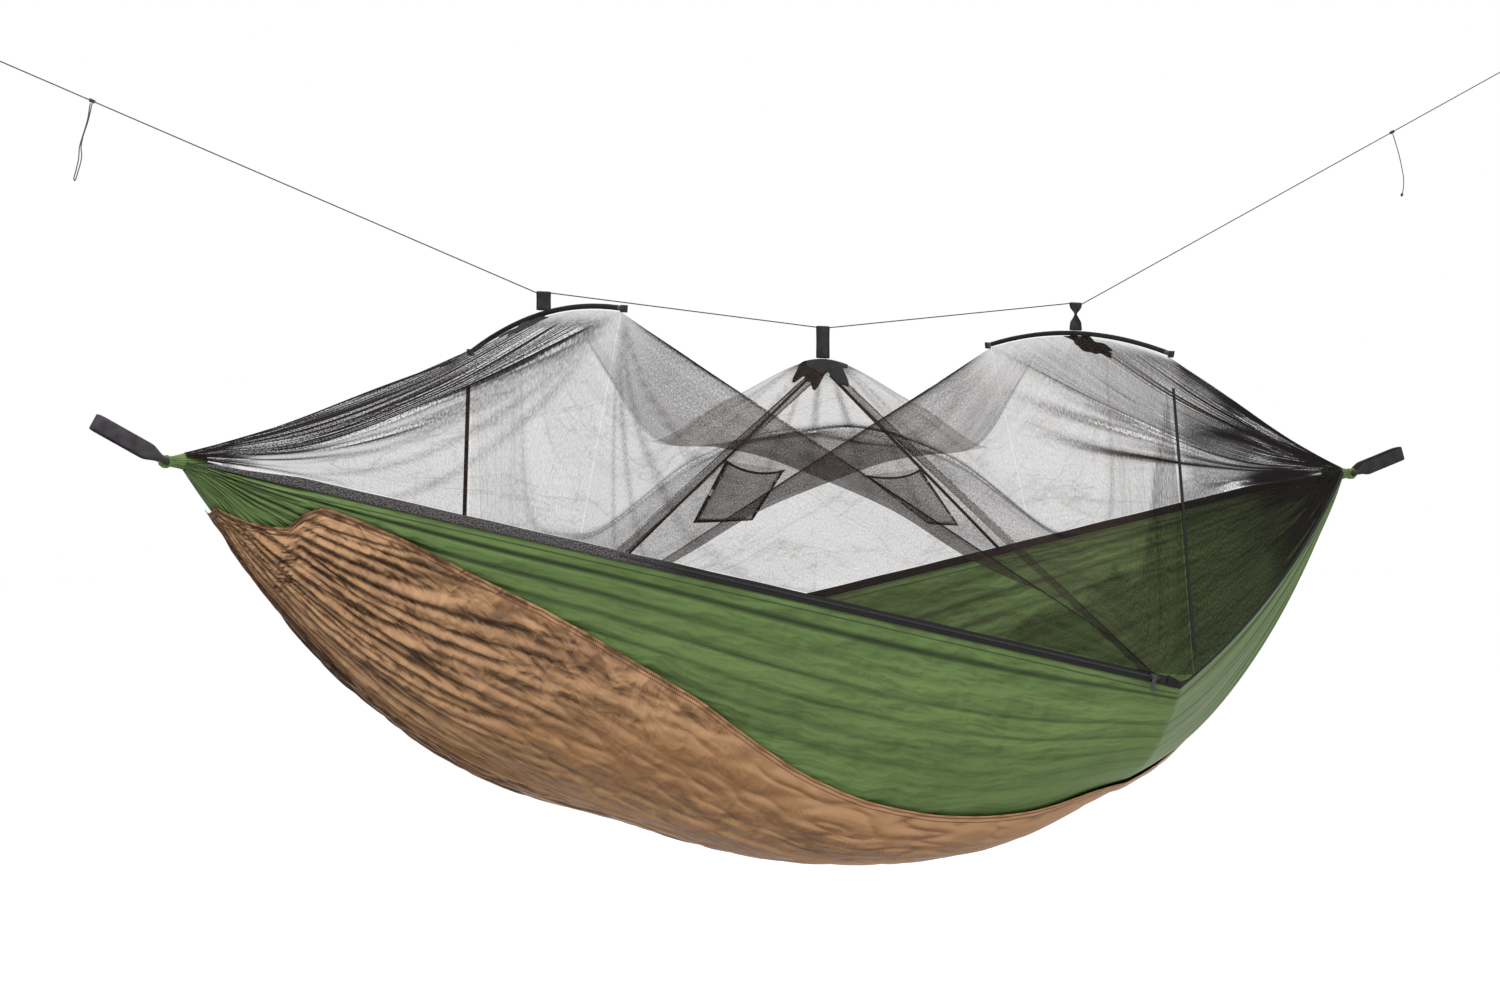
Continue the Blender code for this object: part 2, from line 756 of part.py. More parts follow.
def add_net():
    """The three panels of the net."""
    middle = panel(LEFT_ROD_STATION, RIGHT_ROD_STATION)
    cloth("net_left", panel(0, LEFT_ROD_STATION), END_COLUMNS, NET_ROWS, NET_THICK, NETTING)
    cloth("net_middle", middle, MIDDLE_COLUMNS, NET_ROWS, NET_THICK, NETTING)
    right = panel(RIGHT_ROD_STATION, LAST_STATION)
    cloth("net_right", right, END_COLUMNS, NET_ROWS, NET_THICK, NETTING)


def add_rod(name, side):
    """A bent rod in its sleeve, with a cap and a webbing tab at each end."""
    total = float(np.linalg.norm(rod(side, 1) - rod(side, -1)))
    cap_share = 2 * CAP_FLOOR / total
    reach = 1 + cap_share
    tube(name + "_rod", [rod(side, s) for s in np.linspace(-reach, reach, 25)], ROD_RADIUS, ROD)
    short = 1 - 2 * (CAP_LENGTH - 2 * CAP_FLOOR) / total

    def wall(u, v):
        s = short * (2 * u - 1)
        along = unit(rod(side, s + 0.01) - rod(side, s - 0.01))
        level = unit(np.cross(along, UP))
        rise = np.cross(level, along)
        angle = 2 * math.pi * v
        middle = SLEEVE_BORE + SLEEVE_WALL / 2
        return rod(side, s) + (level * math.cos(angle) + rise * math.sin(angle)) * middle

    mesh = bmesh.new()
    bmesh.ops.create_grid(mesh, x_segments=16, y_segments=ROUND_SIDES, size=1)
    for vertex in mesh.verts:
        vertex.co = wall((vertex.co.x + 1) / 2, (vertex.co.y + 1) / 2)
    bmesh.ops.remove_doubles(mesh, verts=mesh.verts, dist=CLEAR / 10)
    sleeve = smooth(add_object(name + "_rod_sleeve", mesh, TRIM), 80)
    skin = sleeve.modifiers.new("Wall", "SOLIDIFY")
    skin.thickness = SLEEVE_WALL
    skin.offset = 0
    for end, word in ((-1, "near"), (1, "far")):
        add_rod_end(f"{name}_rod_{word}", side, end, reach)


def add_rod_end(name, side, end, reach):
    """The turned cap over a rod's end, and the tab of webbing beyond it."""
    tip = rod(side, end * reach)
    along = unit(tip - rod(side, end * (reach - 0.02)))
    floor = CLEAR
    bore = SLEEVE_BORE
    top = floor + CAP_FLOOR
    low = top - CAP_LENGTH
    chamfer = SLEEVE_WALL / 2
    profile = (
        (0, top),
        (SLEEVE_RADIUS - chamfer, top),
        (SLEEVE_RADIUS, top - chamfer),
        (SLEEVE_RADIUS, low),
        (bore, low),
        (bore, floor),
        (0, floor),
    )
    turned_piece(name + "_cap", profile, tip, along, TRIM)
    level = unit(np.cross(along, UP))
    down = unit(np.cross(level, along))
    if down[2] > 0:
        down = -down
    centre = tip + along * (top + CLEAR + TAB_THICK / 2)
    box(name + "_tab", centre, (level, down, along), (TAB_WIDTH, TAB_LENGTH, TAB_THICK), WEBBING)


def add_patches():
    """The reinforcing patches at the three hanging points, lying on the net's facets."""
    up = (NET_THICK + PATCH_THICK) / 2 + 2 * CLEAR

    def peak_patch(u, v):
        middle = panel(LEFT_ROD_STATION, RIGHT_ROD_STATION)
        corner = middle(0.5 + (2 * u - 1) / MIDDLE_COLUMNS, 0.5 + (2 * v - 1) / NET_ROWS)
        away = corner - PEAK
        return PEAK + away * min(PATCH_LENGTH / 2 / max(np.linalg.norm(away), CLEAR), 1) + UP * up

    cloth("middle_peak_patch", peak_patch, 2, 2, PATCH_THICK, TRIM)
    for name, side in (("left", -1), ("right", 1)):
        ends = (0, LEFT_ROD_STATION) if side < 0 else (RIGHT_ROD_STATION, LAST_STATION)
        surface = panel(*ends)

        def rod_patch(u, v, surface=surface, side=side):
            across = 0.5 + (2 * v - 1) / NET_ROWS
            seam = surface(1 if side < 0 else 0, across)
            inner = surface(1 - 1 / END_COLUMNS if side < 0 else 1 / END_COLUMNS, across)
            share = (0.12 + 0.5 * u) * PATCH_LENGTH / abs(inner[0] - seam[0])
            return seam + (inner - seam) * share + UP * up

        cloth(name + "_peak_patch", rod_patch, 1, 2, PATCH_THICK, TRIM)


# Tapes
def ribbon(name, start, end, across, width, thick, material):
    """A straight flat tape from start to end, its width along across."""
    along = unit(end - start)
    face = unit(np.cross(along, across))
    side = np.cross(face, along)
    length = float(np.linalg.norm(end - start))
    box(name, (start + end) / 2, (along, side, face), (length, width, thick), material)


def hem_place(x):
    """The distance along the long near hem of the place at x."""
    return (x + SHEET_HALF) / HEM_ALONG[0]


def tape_foot(x, top, width):
    """The lower end of an inner tape, with its nearest corner against the near hem band."""
    face = -(BAND_THICK / 2 + CLEAR)
    along = unit(on_hem(hem_place(x), BAND_MIDDLE, face) - top)
    normal = unit(np.cross(along, HEM_ALONG))
    side = np.cross(normal, along)
    corner = abs(side @ HEM_OUT) * width / 2 + abs(normal @ HEM_OUT) * TAPE_THICK / 2
    return on_hem(hem_place(x), BAND_MIDDLE, face - corner)


def tape_top(x):
    """The upper end of a near inner tape, under the peak of the net."""
    return PEAK + point(x, -TAPE_WIDTH / 3, -TAPE_DROP)


FAR_LEFT_TOP = turned(tape_top(TAPE_WIDTH))
FAR_RIGHT_TOP = turned(tape_top(-TAPE_WIDTH))
FAR_LEFT_FOOT = turned(tape_foot(CORNER_ALONG - 2 * BAND_STOP, tape_top(TAPE_WIDTH), THIN_TAPE_WIDTH))
FAR_RIGHT_FOOT = turned(tape_foot(-TAPE_FOOT, tape_top(-TAPE_WIDTH), THIN_TAPE_WIDTH))


def add_tapes():
    """The inner tapes from the peak to both hems, and the seam tapes below the rod ends."""
    for name, spread, foot in (
        ("near_left_tape", -TAPE_WIDTH, -TAPE_FOOT),
        ("near_right_tape", TAPE_WIDTH, CORNER_ALONG - 2 * BAND_STOP),
    ):
        top = tape_top(spread)
        end = tape_foot(foot, top, TAPE_WIDTH)
        ribbon(name, top, end, HEM_ALONG, TAPE_WIDTH, TAPE_THICK, WEBBING)
    back = turned(HEM_ALONG)
    ribbon("far_left_tape", FAR_LEFT_TOP, FAR_LEFT_FOOT, back, THIN_TAPE_WIDTH, TAPE_THICK, WEBBING)
    ribbon("far_right_tape", FAR_RIGHT_TOP, FAR_RIGHT_FOOT, back, THIN_TAPE_WIDTH, TAPE_THICK, WEBBING)
    for name, flip in (("near_right_seam_tape", False), ("far_left_seam_tape", True)):
        add_seam_tape(name, flip)


def add_seam_tape(name, flip):
    """A tape over the upright seam between two panels, on the net's outer side."""
    lift = (NET_THICK + TAPE_THICK) / 2 + 3 * CLEAR

    net_right = panel(RIGHT_ROD_STATION, LAST_STATION)

    def surface(u, v):
        row = np.interp(u, (0, 1 / 3, 2 / 3, 1), (0.2, 1, 2, 2.7))
        low, high = int(row) / NET_ROWS, (int(row) + 1) / NET_ROWS
        share = row - int(row)
        edge = net_right(0, low) * (1 - share) + net_right(0, high) * share
        inner = net_right(1 / END_COLUMNS, low) * (1 - share) + net_right(1 / END_COLUMNS, high) * share
        across = unit(inner - edge)
        out = unit(np.cross(net_right(0, high) - net_right(0, low), across))
        if out[1] > 0:
            out = -out
        laid = edge + across * SEAM_TAPE_WIDTH * (v + 0.1) + out * lift
        return turned(laid) if flip else laid

    cloth(name, surface, 3, 1, TAPE_THICK, TRIM)


# Pockets hung on the far tapes. Corners are shares of the way to the far left and far right feet
LEFT_POCKET_SHARES = ((0.284, 0.001), (0.216, 0.165), (0.3545, 0.223), (0.448, 0.078))
RIGHT_POCKET_SHARES = ((0.1016, 0.3835), (0.001, 0.513), (0.030, 0.800), (0.0785, 0.7055))


def between_tapes(a, b):
    """A place by its shares of the way down the far left and the far right tape."""
    top = (FAR_LEFT_TOP * a + FAR_RIGHT_TOP * b) / (a + b)
    return FAR_LEFT_FOOT * a + FAR_RIGHT_FOOT * b + top * (1 - a - b)


def pocket_block(name, corners, inward, depth, collection):
    """A slab over four corners, its back at the corners."""
    front = [place + inward * depth for place in corners]
    return add_object(name, loft([corners, front], False), NETTING, ORIGIN, collection)


def add_pocket(name, shares):
    """A flat net pouch, open along its top edge, with a trim along its mouth."""
    inward = unit(np.cross(FAR_LEFT_FOOT - FAR_LEFT_TOP, FAR_RIGHT_FOOT - FAR_RIGHT_TOP))
    if inward[1] > 0:
        inward = -inward
    seat = inward * (TAPE_THICK / 2 + 3 * CLEAR)
    outer = [between_tapes(a, b) + seat for a, b in shares]
    middle = sum(outer) / 4
    inner = [place + unit(middle - place) * 2 * POCKET_WALL for place in outer]
    rise = unit((outer[0] + outer[1] - outer[2] - outer[3]) / 2)
    inner[0] = inner[0] + rise * POCKET_OVERCUT
    inner[1] = inner[1] + rise * POCKET_OVERCUT
    pouch = pocket_block(name, outer, inward, POCKET_DEPTH, PARTS)
    hollow = [place + inward * POCKET_WALL for place in inner]
    room = pocket_block(name + "_room", hollow, inward, POCKET_DEPTH - 2 * POCKET_WALL, CUTTERS)
    combine(pouch, room, "DIFFERENCE")
    start, end = outer[0], outer[1]
    along = unit(end - start)
    drop = unit(np.cross(along, inward))
    if drop[2] > 0:
        drop = -drop
    face = inward * (POCKET_DEPTH + CLEAR + TRIM_THICK / 2) + drop * TRIM_WIDTH
    centre = (start + end) / 2 + face
    length = float(np.linalg.norm(end - start)) - 2 * TRIM_WIDTH
    box(name + "_trim", centre, (along, drop, inward), (length, TRIM_WIDTH, TRIM_THICK), TRIM)


# Zip on the near hem band
CHAIN_OUT = BAND_THICK / 2 + CLEAR + CHAIN_THICK / 2
PLATE_IN = CHAIN_OUT + CHAIN_THICK / 2 + CLEAR
PIN_OUT = PLATE_IN + SLIDER_PLATE + PULL_BARREL + 2 * CLEAR


def hem_box(name, along, up, out, sizes, material, pivot=ORIGIN, collection=PARTS):
    """A box laid out on the near hem's own axes."""
    axes = (HEM_ALONG, HEM_UP, HEM_OUT)
    return box(name, on_hem(along, up, out), axes, sizes, material, pivot, collection)


def add_zip():
    """The chain, the slider that rides on it and the pull that hangs from the slider's pin."""
    start = hem_place(-TAPE_FOOT)
    stop = HEM_LENGTH - BAND_STOP - CHAIN_STOP
    sizes = (stop - start, CHAIN_WIDTH, CHAIN_THICK)
    hem_box("zip_chain", (start + stop) / 2, BAND_MIDDLE, CHAIN_OUT, sizes, TOOTH)
    rest = stop - SLIDER_LENGTH
    pivot = on_hem(rest, BAND_MIDDLE, CHAIN_OUT)
    back = BAND_THICK / 2 + CLEAR
    thick = PLATE_IN + SLIDER_PLATE - back
    sizes = (SLIDER_LENGTH, SLIDER_WIDTH, thick)
    slider = hem_box("zip_slider", rest, BAND_MIDDLE, back + thick / 2, sizes, METAL, pivot)
    groove = (3 * SLIDER_LENGTH, CHAIN_WIDTH + 2 * CLEAR, 2 * (PLATE_IN - back))
    cut = hem_box("zip_groove", rest, BAND_MIDDLE, back, groove, METAL, ORIGIN, CUTTERS)
    combine(slider, cut, "DIFFERENCE")
    root = PLATE_IN + SLIDER_PLATE / 2
    tall = PIN_OUT + EAR_WIDTH / 2 - root
    apart = SLIDER_LENGTH / 2 - EAR_THICK
    for i, shift in enumerate((-apart, apart)):
        sizes = (EAR_THICK, EAR_WIDTH, tall)
        ear = hem_box(
            f"zip_ear_{i}", rest + shift, BAND_MIDDLE, root + tall / 2, sizes, METAL, ORIGIN, CUTTERS
        )
        combine(slider, ear, "UNION")
    ends = [on_hem(rest + shift, BAND_MIDDLE, PIN_OUT) for shift in (-apart, apart)]
    pin = rod_between("zip_pin", *ends, PIN_RADIUS, METAL, ORIGIN, CUTTERS)
    combine(slider, pin, "UNION")
    middle = on_hem(rest, BAND_MIDDLE, PIN_OUT)
    half = HEM_ALONG * (apart - EAR_THICK / 2 - CLEAR)
    pull = rod_between("zip_pull", middle - half, middle + half, PULL_BARREL, METAL, middle)
    sizes = (PULL_WIDTH, PULL_LENGTH, PULL_THICK)
    low = BAND_MIDDLE - PULL_LENGTH / 2 - PULL_BARREL / 2
    tab = hem_box("zip_pull_tab", rest, low, PIN_OUT, sizes, METAL, ORIGIN, CUTTERS)
    combine(pull, tab, "UNION")
    bore = rod_between(
        "zip_pull_bore", middle - half * 2, middle + half * 2, PIN_RADIUS + CLEAR, METAL, ORIGIN, CUTTERS
    )
    combine(pull, bore, "DIFFERENCE")


# Ridge line, held up by its hangers above the sleeves and the middle peak
OVER_ROD = float(rod(-1, 0)[2]) + SLEEVE_RADIUS + CLEAR
OVER_PEAK = PEAK_HEIGHT + NET_THICK / 2 + PATCH_THICK + 3 * CLEAR
UNDER_BAND = CORD_RADIUS + CLEAR + HANGER_THICK / 2
LEFT_TOP = point(-ROD_STATION, 0, OVER_ROD + LEFT_HANGER_LENGTH - UNDER_BAND)
MIDDLE_TOP = point(0, 0, OVER_PEAK + MIDDLE_HANGER_LENGTH - UNDER_BAND)
RIGHT_TOP = point(ROD_STATION, 0, OVER_ROD + RIGHT_HANGER_LENGTH - UNDER_BAND)
LEFT_END = LEFT_TOP + point(ROD_STATION - LEFT_END_ALONG, 0, LEFT_END_RISE)
RIGHT_END = RIGHT_TOP + point(RIGHT_END_ALONG - ROD_STATION, 0, RIGHT_END_RISE)
SADDLE = HANGER_WIDTH / 2 + HANGER_BORE


def cord_run(start, end):
    """A taut stretch of cord between two places, level where it passes through a hanger."""
    along = point(math.copysign(1, end[0] - start[0]), 0, 0)
    route = []
    if abs(start[0]) < LEFT_END_ALONG:
        route += [start + along * CLEAR / 2, start + along * SADDLE]
    else:
        route += [start]
    if abs(end[0]) < LEFT_END_ALONG:
        finish_points = [end - along * SADDLE, end - along * CLEAR / 2]
    else:
        finish_points = [end]
    low, high = route[-1], finish_points[0]
    count = max(int(np.linalg.norm(high - low) / CORD_POINT_STEP), 2)
    between_points = [low + (high - low) * i / count for i in range(1, count)]
    return route + between_points + finish_points


def hanger_path(top, bottom):
    """(height, side, heading) round a closed hanger, its cord hole at the top."""
    bend = HANGER_BORE + HANGER_THICK / 2
    high = top - bend
    low = bottom + HANGER_THICK / 2 + bend
    path = []
    for i in range(7):
        t = math.pi * i / 6
        path.append((high + bend * math.sin(t), bend * math.cos(t), t))
    for share in (0.2, 0.4, 0.6, 0.8):
        path.append((high + (low - high) * share, -bend, math.pi))
    for i in range(7):
        t = math.pi * (1 + i / 6)
        path.append((low + bend * math.sin(t), bend * math.cos(t), t))
    for share in (0.8, 0.6, 0.4, 0.2):
        path.append((high + (low - high) * share, bend, 2 * math.pi))
    return path


def add_hanger(name, place, bottom, waist):
    """A webbing band over the cord, down to the net, drawn in at its waist if it is twisted."""
    top = place[2] + UNDER_BAND
    rings = []
    for height, side, heading in hanger_path(top, bottom):
        share = (height - bottom) / (top - bottom)
        drawn = between(0.95, 0.55, share) * between(0, 0.35, share)
        wide = (HANGER_WIDTH - (HANGER_WIDTH - waist) * drawn) / 2
        if waist < HANGER_WIDTH:
            wide -= (HANGER_WIDTH / 4) * between(0.5, 0, share)
        normal = point(0, math.cos(heading), math.sin(heading))
        centre = point(place[0], side, height)
        half = HANGER_THICK / 2
        corners = ((half, wide), (-half, wide), (-half, -wide), (half, -wide))
        rings.append([centre + normal * a + point(b, 0, 0) for a, b in corners])
    smooth(add_object(name, loft(rings, True), WEBBING), 40)


def add_knot(name, centre, along):
    """A barrel knot with its bore on the ridge line; its origin is the middle of the knot."""
    bore = CORD_RADIUS + CLEAR
    half = KNOT_LENGTH / 2
    waist = KNOT_RADIUS * 0.82
    outer = [(KNOT_RADIUS * 0.7, half)]
    for i in range(3):
        ridge = half - KNOT_LENGTH * (i + 0.5) / 3
        outer += [(KNOT_RADIUS, ridge)]
        if i < 2:
            outer += [(waist, ridge - KNOT_LENGTH / 6)]
    outer += [(KNOT_RADIUS * 0.7, -half)]
    profile = outer + [(bore, -half), (bore, half)]
    turned_piece(name, profile, centre, along, CORDAGE, True)


# The hanging loop and tail, as (along, aside, down) shares of their drop
LEFT_DROP_SHARES = (
    (0.012, 0, 0),
    (-0.035, 0.010, 0.22),
    (-0.105, 0.014, 0.45),
    (-0.125, 0.010, 0.56),
    (-0.120, 0, 0.68),
    (-0.165, 0, 0.88),
    (-0.198, 0, 0.985),
    (-0.208, 0, 1.0),
    (-0.219, 0, 0.985),
    (-0.195, 0, 0.88),
    (-0.160, 0, 0.72),
    (-0.148, -0.010, 0.56),
    (-0.118, -0.014, 0.45),
    (-0.050, -0.010, 0.22),
    (-0.012, 0, 0),
)
RIGHT_DROP_SHARES = (
    (0, 0, 0),
    (0.05, 0, 0.12),
    (0.11, 0.01, 0.25),
    (0.19, 0.02, 0.48),
    (0.24, 0.02, 0.72),
    (0.22, 0.01, 0.90),
    (0.18, 0, 1.0),
)


def drop_points(centre, along_line, shares, steps):
    """A hanging cord's points, starting just under its knot."""
    under = np.cross(point(0, 1, 0), along_line)
    if under[2] > 0:
        under = -under
    top = centre + under * (KNOT_RADIUS + CLEAR + DROP_RADIUS / 2)
    places = []
    for i in range(steps + 1):
        along, aside, down = through([np.array(row) for row in shares], (len(shares) - 1) * i / steps)
        places.append(top + point(along, aside, -down) * DROP_LENGTH)
    return places


def add_ridge_line():
    """The cord, its three hangers and the two sliding knots with what hangs from them."""
    stretches = (
        ("ridge_line_outer_left", LEFT_END, LEFT_TOP),
        ("ridge_line_inner_left", LEFT_TOP, MIDDLE_TOP),
        ("ridge_line_inner_right", MIDDLE_TOP, RIGHT_TOP),
        ("ridge_line_outer_right", RIGHT_TOP, RIGHT_END),
    )
    for name, start, end in stretches:
        tube(name, cord_run(start, end), CORD_RADIUS, CORDAGE)
    add_hanger("left_hanger", LEFT_TOP, OVER_ROD, HANGER_WIDTH)
    add_hanger("middle_hanger", MIDDLE_TOP, OVER_PEAK, HANGER_WIDTH)
    add_hanger("right_hanger", RIGHT_TOP, OVER_ROD, HANGER_WAIST)
    knots = (
        ("left", LEFT_KNOT_ALONG, LEFT_TOP - point(SADDLE, 0, 0), LEFT_END, LEFT_DROP_SHARES, "loop"),
        ("right", RIGHT_KNOT_ALONG, RIGHT_TOP + point(SADDLE, 0, 0), RIGHT_END, RIGHT_DROP_SHARES, "tail"),
    )
    for name, reach, inner, outer, shares, word in knots:
        share = (reach - abs(inner[0])) / (abs(outer[0]) - abs(inner[0]))
        centre = inner + (outer - inner) * share
        heading = unit(inner - outer)
        add_knot(name + "_hitch", centre, heading)
        places = drop_points(centre, heading, shares, 30 if word == "loop" else 16)
        tube(f"{name}_hitch_{word}", places, DROP_RADIUS, CORDAGE, centre)


def main():
    """Builds every sub-part, then moves the layout so that the left bearing face is the origin."""
    add_bed()
    add_gather("left_gather", -1)
    add_gather("right_gather", 1)
    add_webbing_loop("left_loop", -1, LEFT_REACH, LEFT_LIFT_DEGREES)
    add_webbing_loop("right_loop", 1, RIGHT_REACH, RIGHT_LIFT_DEGREES)
    add_net()
    add_rod("left", -1)
    add_rod("right", 1)
    add_patches()
    add_tapes()
    add_pocket("left_pocket", LEFT_POCKET_SHARES)
    add_pocket("right_pocket", RIGHT_POCKET_SHARES)
    add_zip()
    add_ridge_line()
    FRAME.location = -bearing_face(-1, LEFT_REACH, LEFT_LIFT_DEGREES)
    bpy.context.view_layer.update()


main()
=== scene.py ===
"""Looks of a gathered-end hammock with an under-layer and a bug net hung from a ridge line.

Metres, +Z up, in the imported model's frame. Pieces are laid out round the middle of the
hammock, as X from the left gather to the right one and Y to the far side, and each mesh is
then shifted so that the origin is the bearing face inside the left webbing loop.
"""

import logging
import math
from dataclasses import dataclass, field
from enum import Enum
from typing import Sequence

import bmesh
import bpy
import numpy as np
from mathutils import Matrix, Vector

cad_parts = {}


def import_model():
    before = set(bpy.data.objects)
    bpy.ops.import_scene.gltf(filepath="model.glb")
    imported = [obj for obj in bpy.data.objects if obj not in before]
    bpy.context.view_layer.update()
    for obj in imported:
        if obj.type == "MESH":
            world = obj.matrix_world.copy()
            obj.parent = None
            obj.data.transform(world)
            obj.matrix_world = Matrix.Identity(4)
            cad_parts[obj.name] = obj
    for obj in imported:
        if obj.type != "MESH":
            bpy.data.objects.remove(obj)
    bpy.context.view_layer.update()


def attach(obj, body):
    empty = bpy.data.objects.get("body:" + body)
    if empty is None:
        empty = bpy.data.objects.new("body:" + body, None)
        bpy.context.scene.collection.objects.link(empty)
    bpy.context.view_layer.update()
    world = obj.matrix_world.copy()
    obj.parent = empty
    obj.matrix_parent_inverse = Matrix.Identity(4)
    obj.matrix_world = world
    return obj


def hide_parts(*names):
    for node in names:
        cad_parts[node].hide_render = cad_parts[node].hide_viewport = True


LOG = logging.getLogger("hammock")
Array = np.ndarray
Colour = tuple[float, float, float]
Material = bpy.types.Material
Piece = bpy.types.Object
Socket = bpy.types.NodeSocket
ROOT = "hammock"
SIDES = ((-1, "left"), (1, "right"))
CLOTH_MAP = "Cloth"
SHARP_ANGLE = math.radians(35)


def vec(x: float, y: float, z: float) -> Array:
    """A place or direction."""
    return np.array((x, y, z), float)


def turned(place: Array) -> Array:
    """The same places after a half turn about Z."""
    return place * np.array((-1.0, -1.0, 1.0))


def unit(vector: Array) -> Array:
    """The vectors at length one, along their last axis."""
    size = np.linalg.norm(vector, axis=-1, keepdims=True)
    return vector / np.maximum(size, 1e-12)


def step(low: float, high: float, value: Array) -> Array:
    """A smooth step from 0 at low to 1 at high."""
    t = np.clip((np.asarray(value, float) - low) / (high - low), 0, 1)
    return t * t * (3 - 2 * t)


def bump_at(value: Array, centre: float, width: float) -> Array:
    """A bell of height 1 at the centre, gone a width away."""
    return np.exp(-(((np.asarray(value, float) - centre) / width) ** 2) * 2)


UP = vec(0, 0, 1)


class Waves:
    """A smooth, repeatable random field over two coordinates, as a sum of sine waves."""

    def __init__(self, seed: int, count: int, low: float, high: float, stretch: float = 1.0) -> None:
        """Draws the waves.

        Args:
            seed: The seed of the draw.
            count: How many waves are added.
            low: The lowest number of waves per unit across.
            high: The highest number of waves per unit across.
            stretch: How many times longer the waves are along the first coordinate.
        """
        draw = np.random.default_rng(seed)
        self.turns = draw.uniform(0, 2 * math.pi, count)
        self.counts = np.exp(draw.uniform(math.log(low), math.log(high), count))
        self.shifts = draw.uniform(0, 2 * math.pi, count)
        self.sizes = (low / self.counts) ** 0.6
        self.stretch = stretch

    def at(self, a: Array, b: Array) -> Array:
        """The field's height, about -1 to 1.

        Args:
            a: The first coordinate.
            b: The second coordinate.

        Returns:
            The heights, in the shape of the coordinates.
        """
        total = np.zeros(np.broadcast(a, b).shape)
        for turn, count, shift, size in zip(self.turns, self.counts, self.shifts, self.sizes):
            along = a * math.cos(turn) / self.stretch + b * math.sin(turn)
            total = total + size * np.sin(2 * math.pi * count * along + shift)
        return total / math.sqrt(np.sum(self.sizes**2)) / 1.4

    def valleys(self, a: Array, b: Array) -> tuple[Array, Array]:
        """Heights of puffed cloth, 0 in its sharp valleys to 1, and lines of value 1 along the valleys."""
        apart = np.abs(np.clip(self.at(a, b) * 1.6, -1, 1))
        return apart**0.75, np.exp(-((apart / 0.10) ** 2))


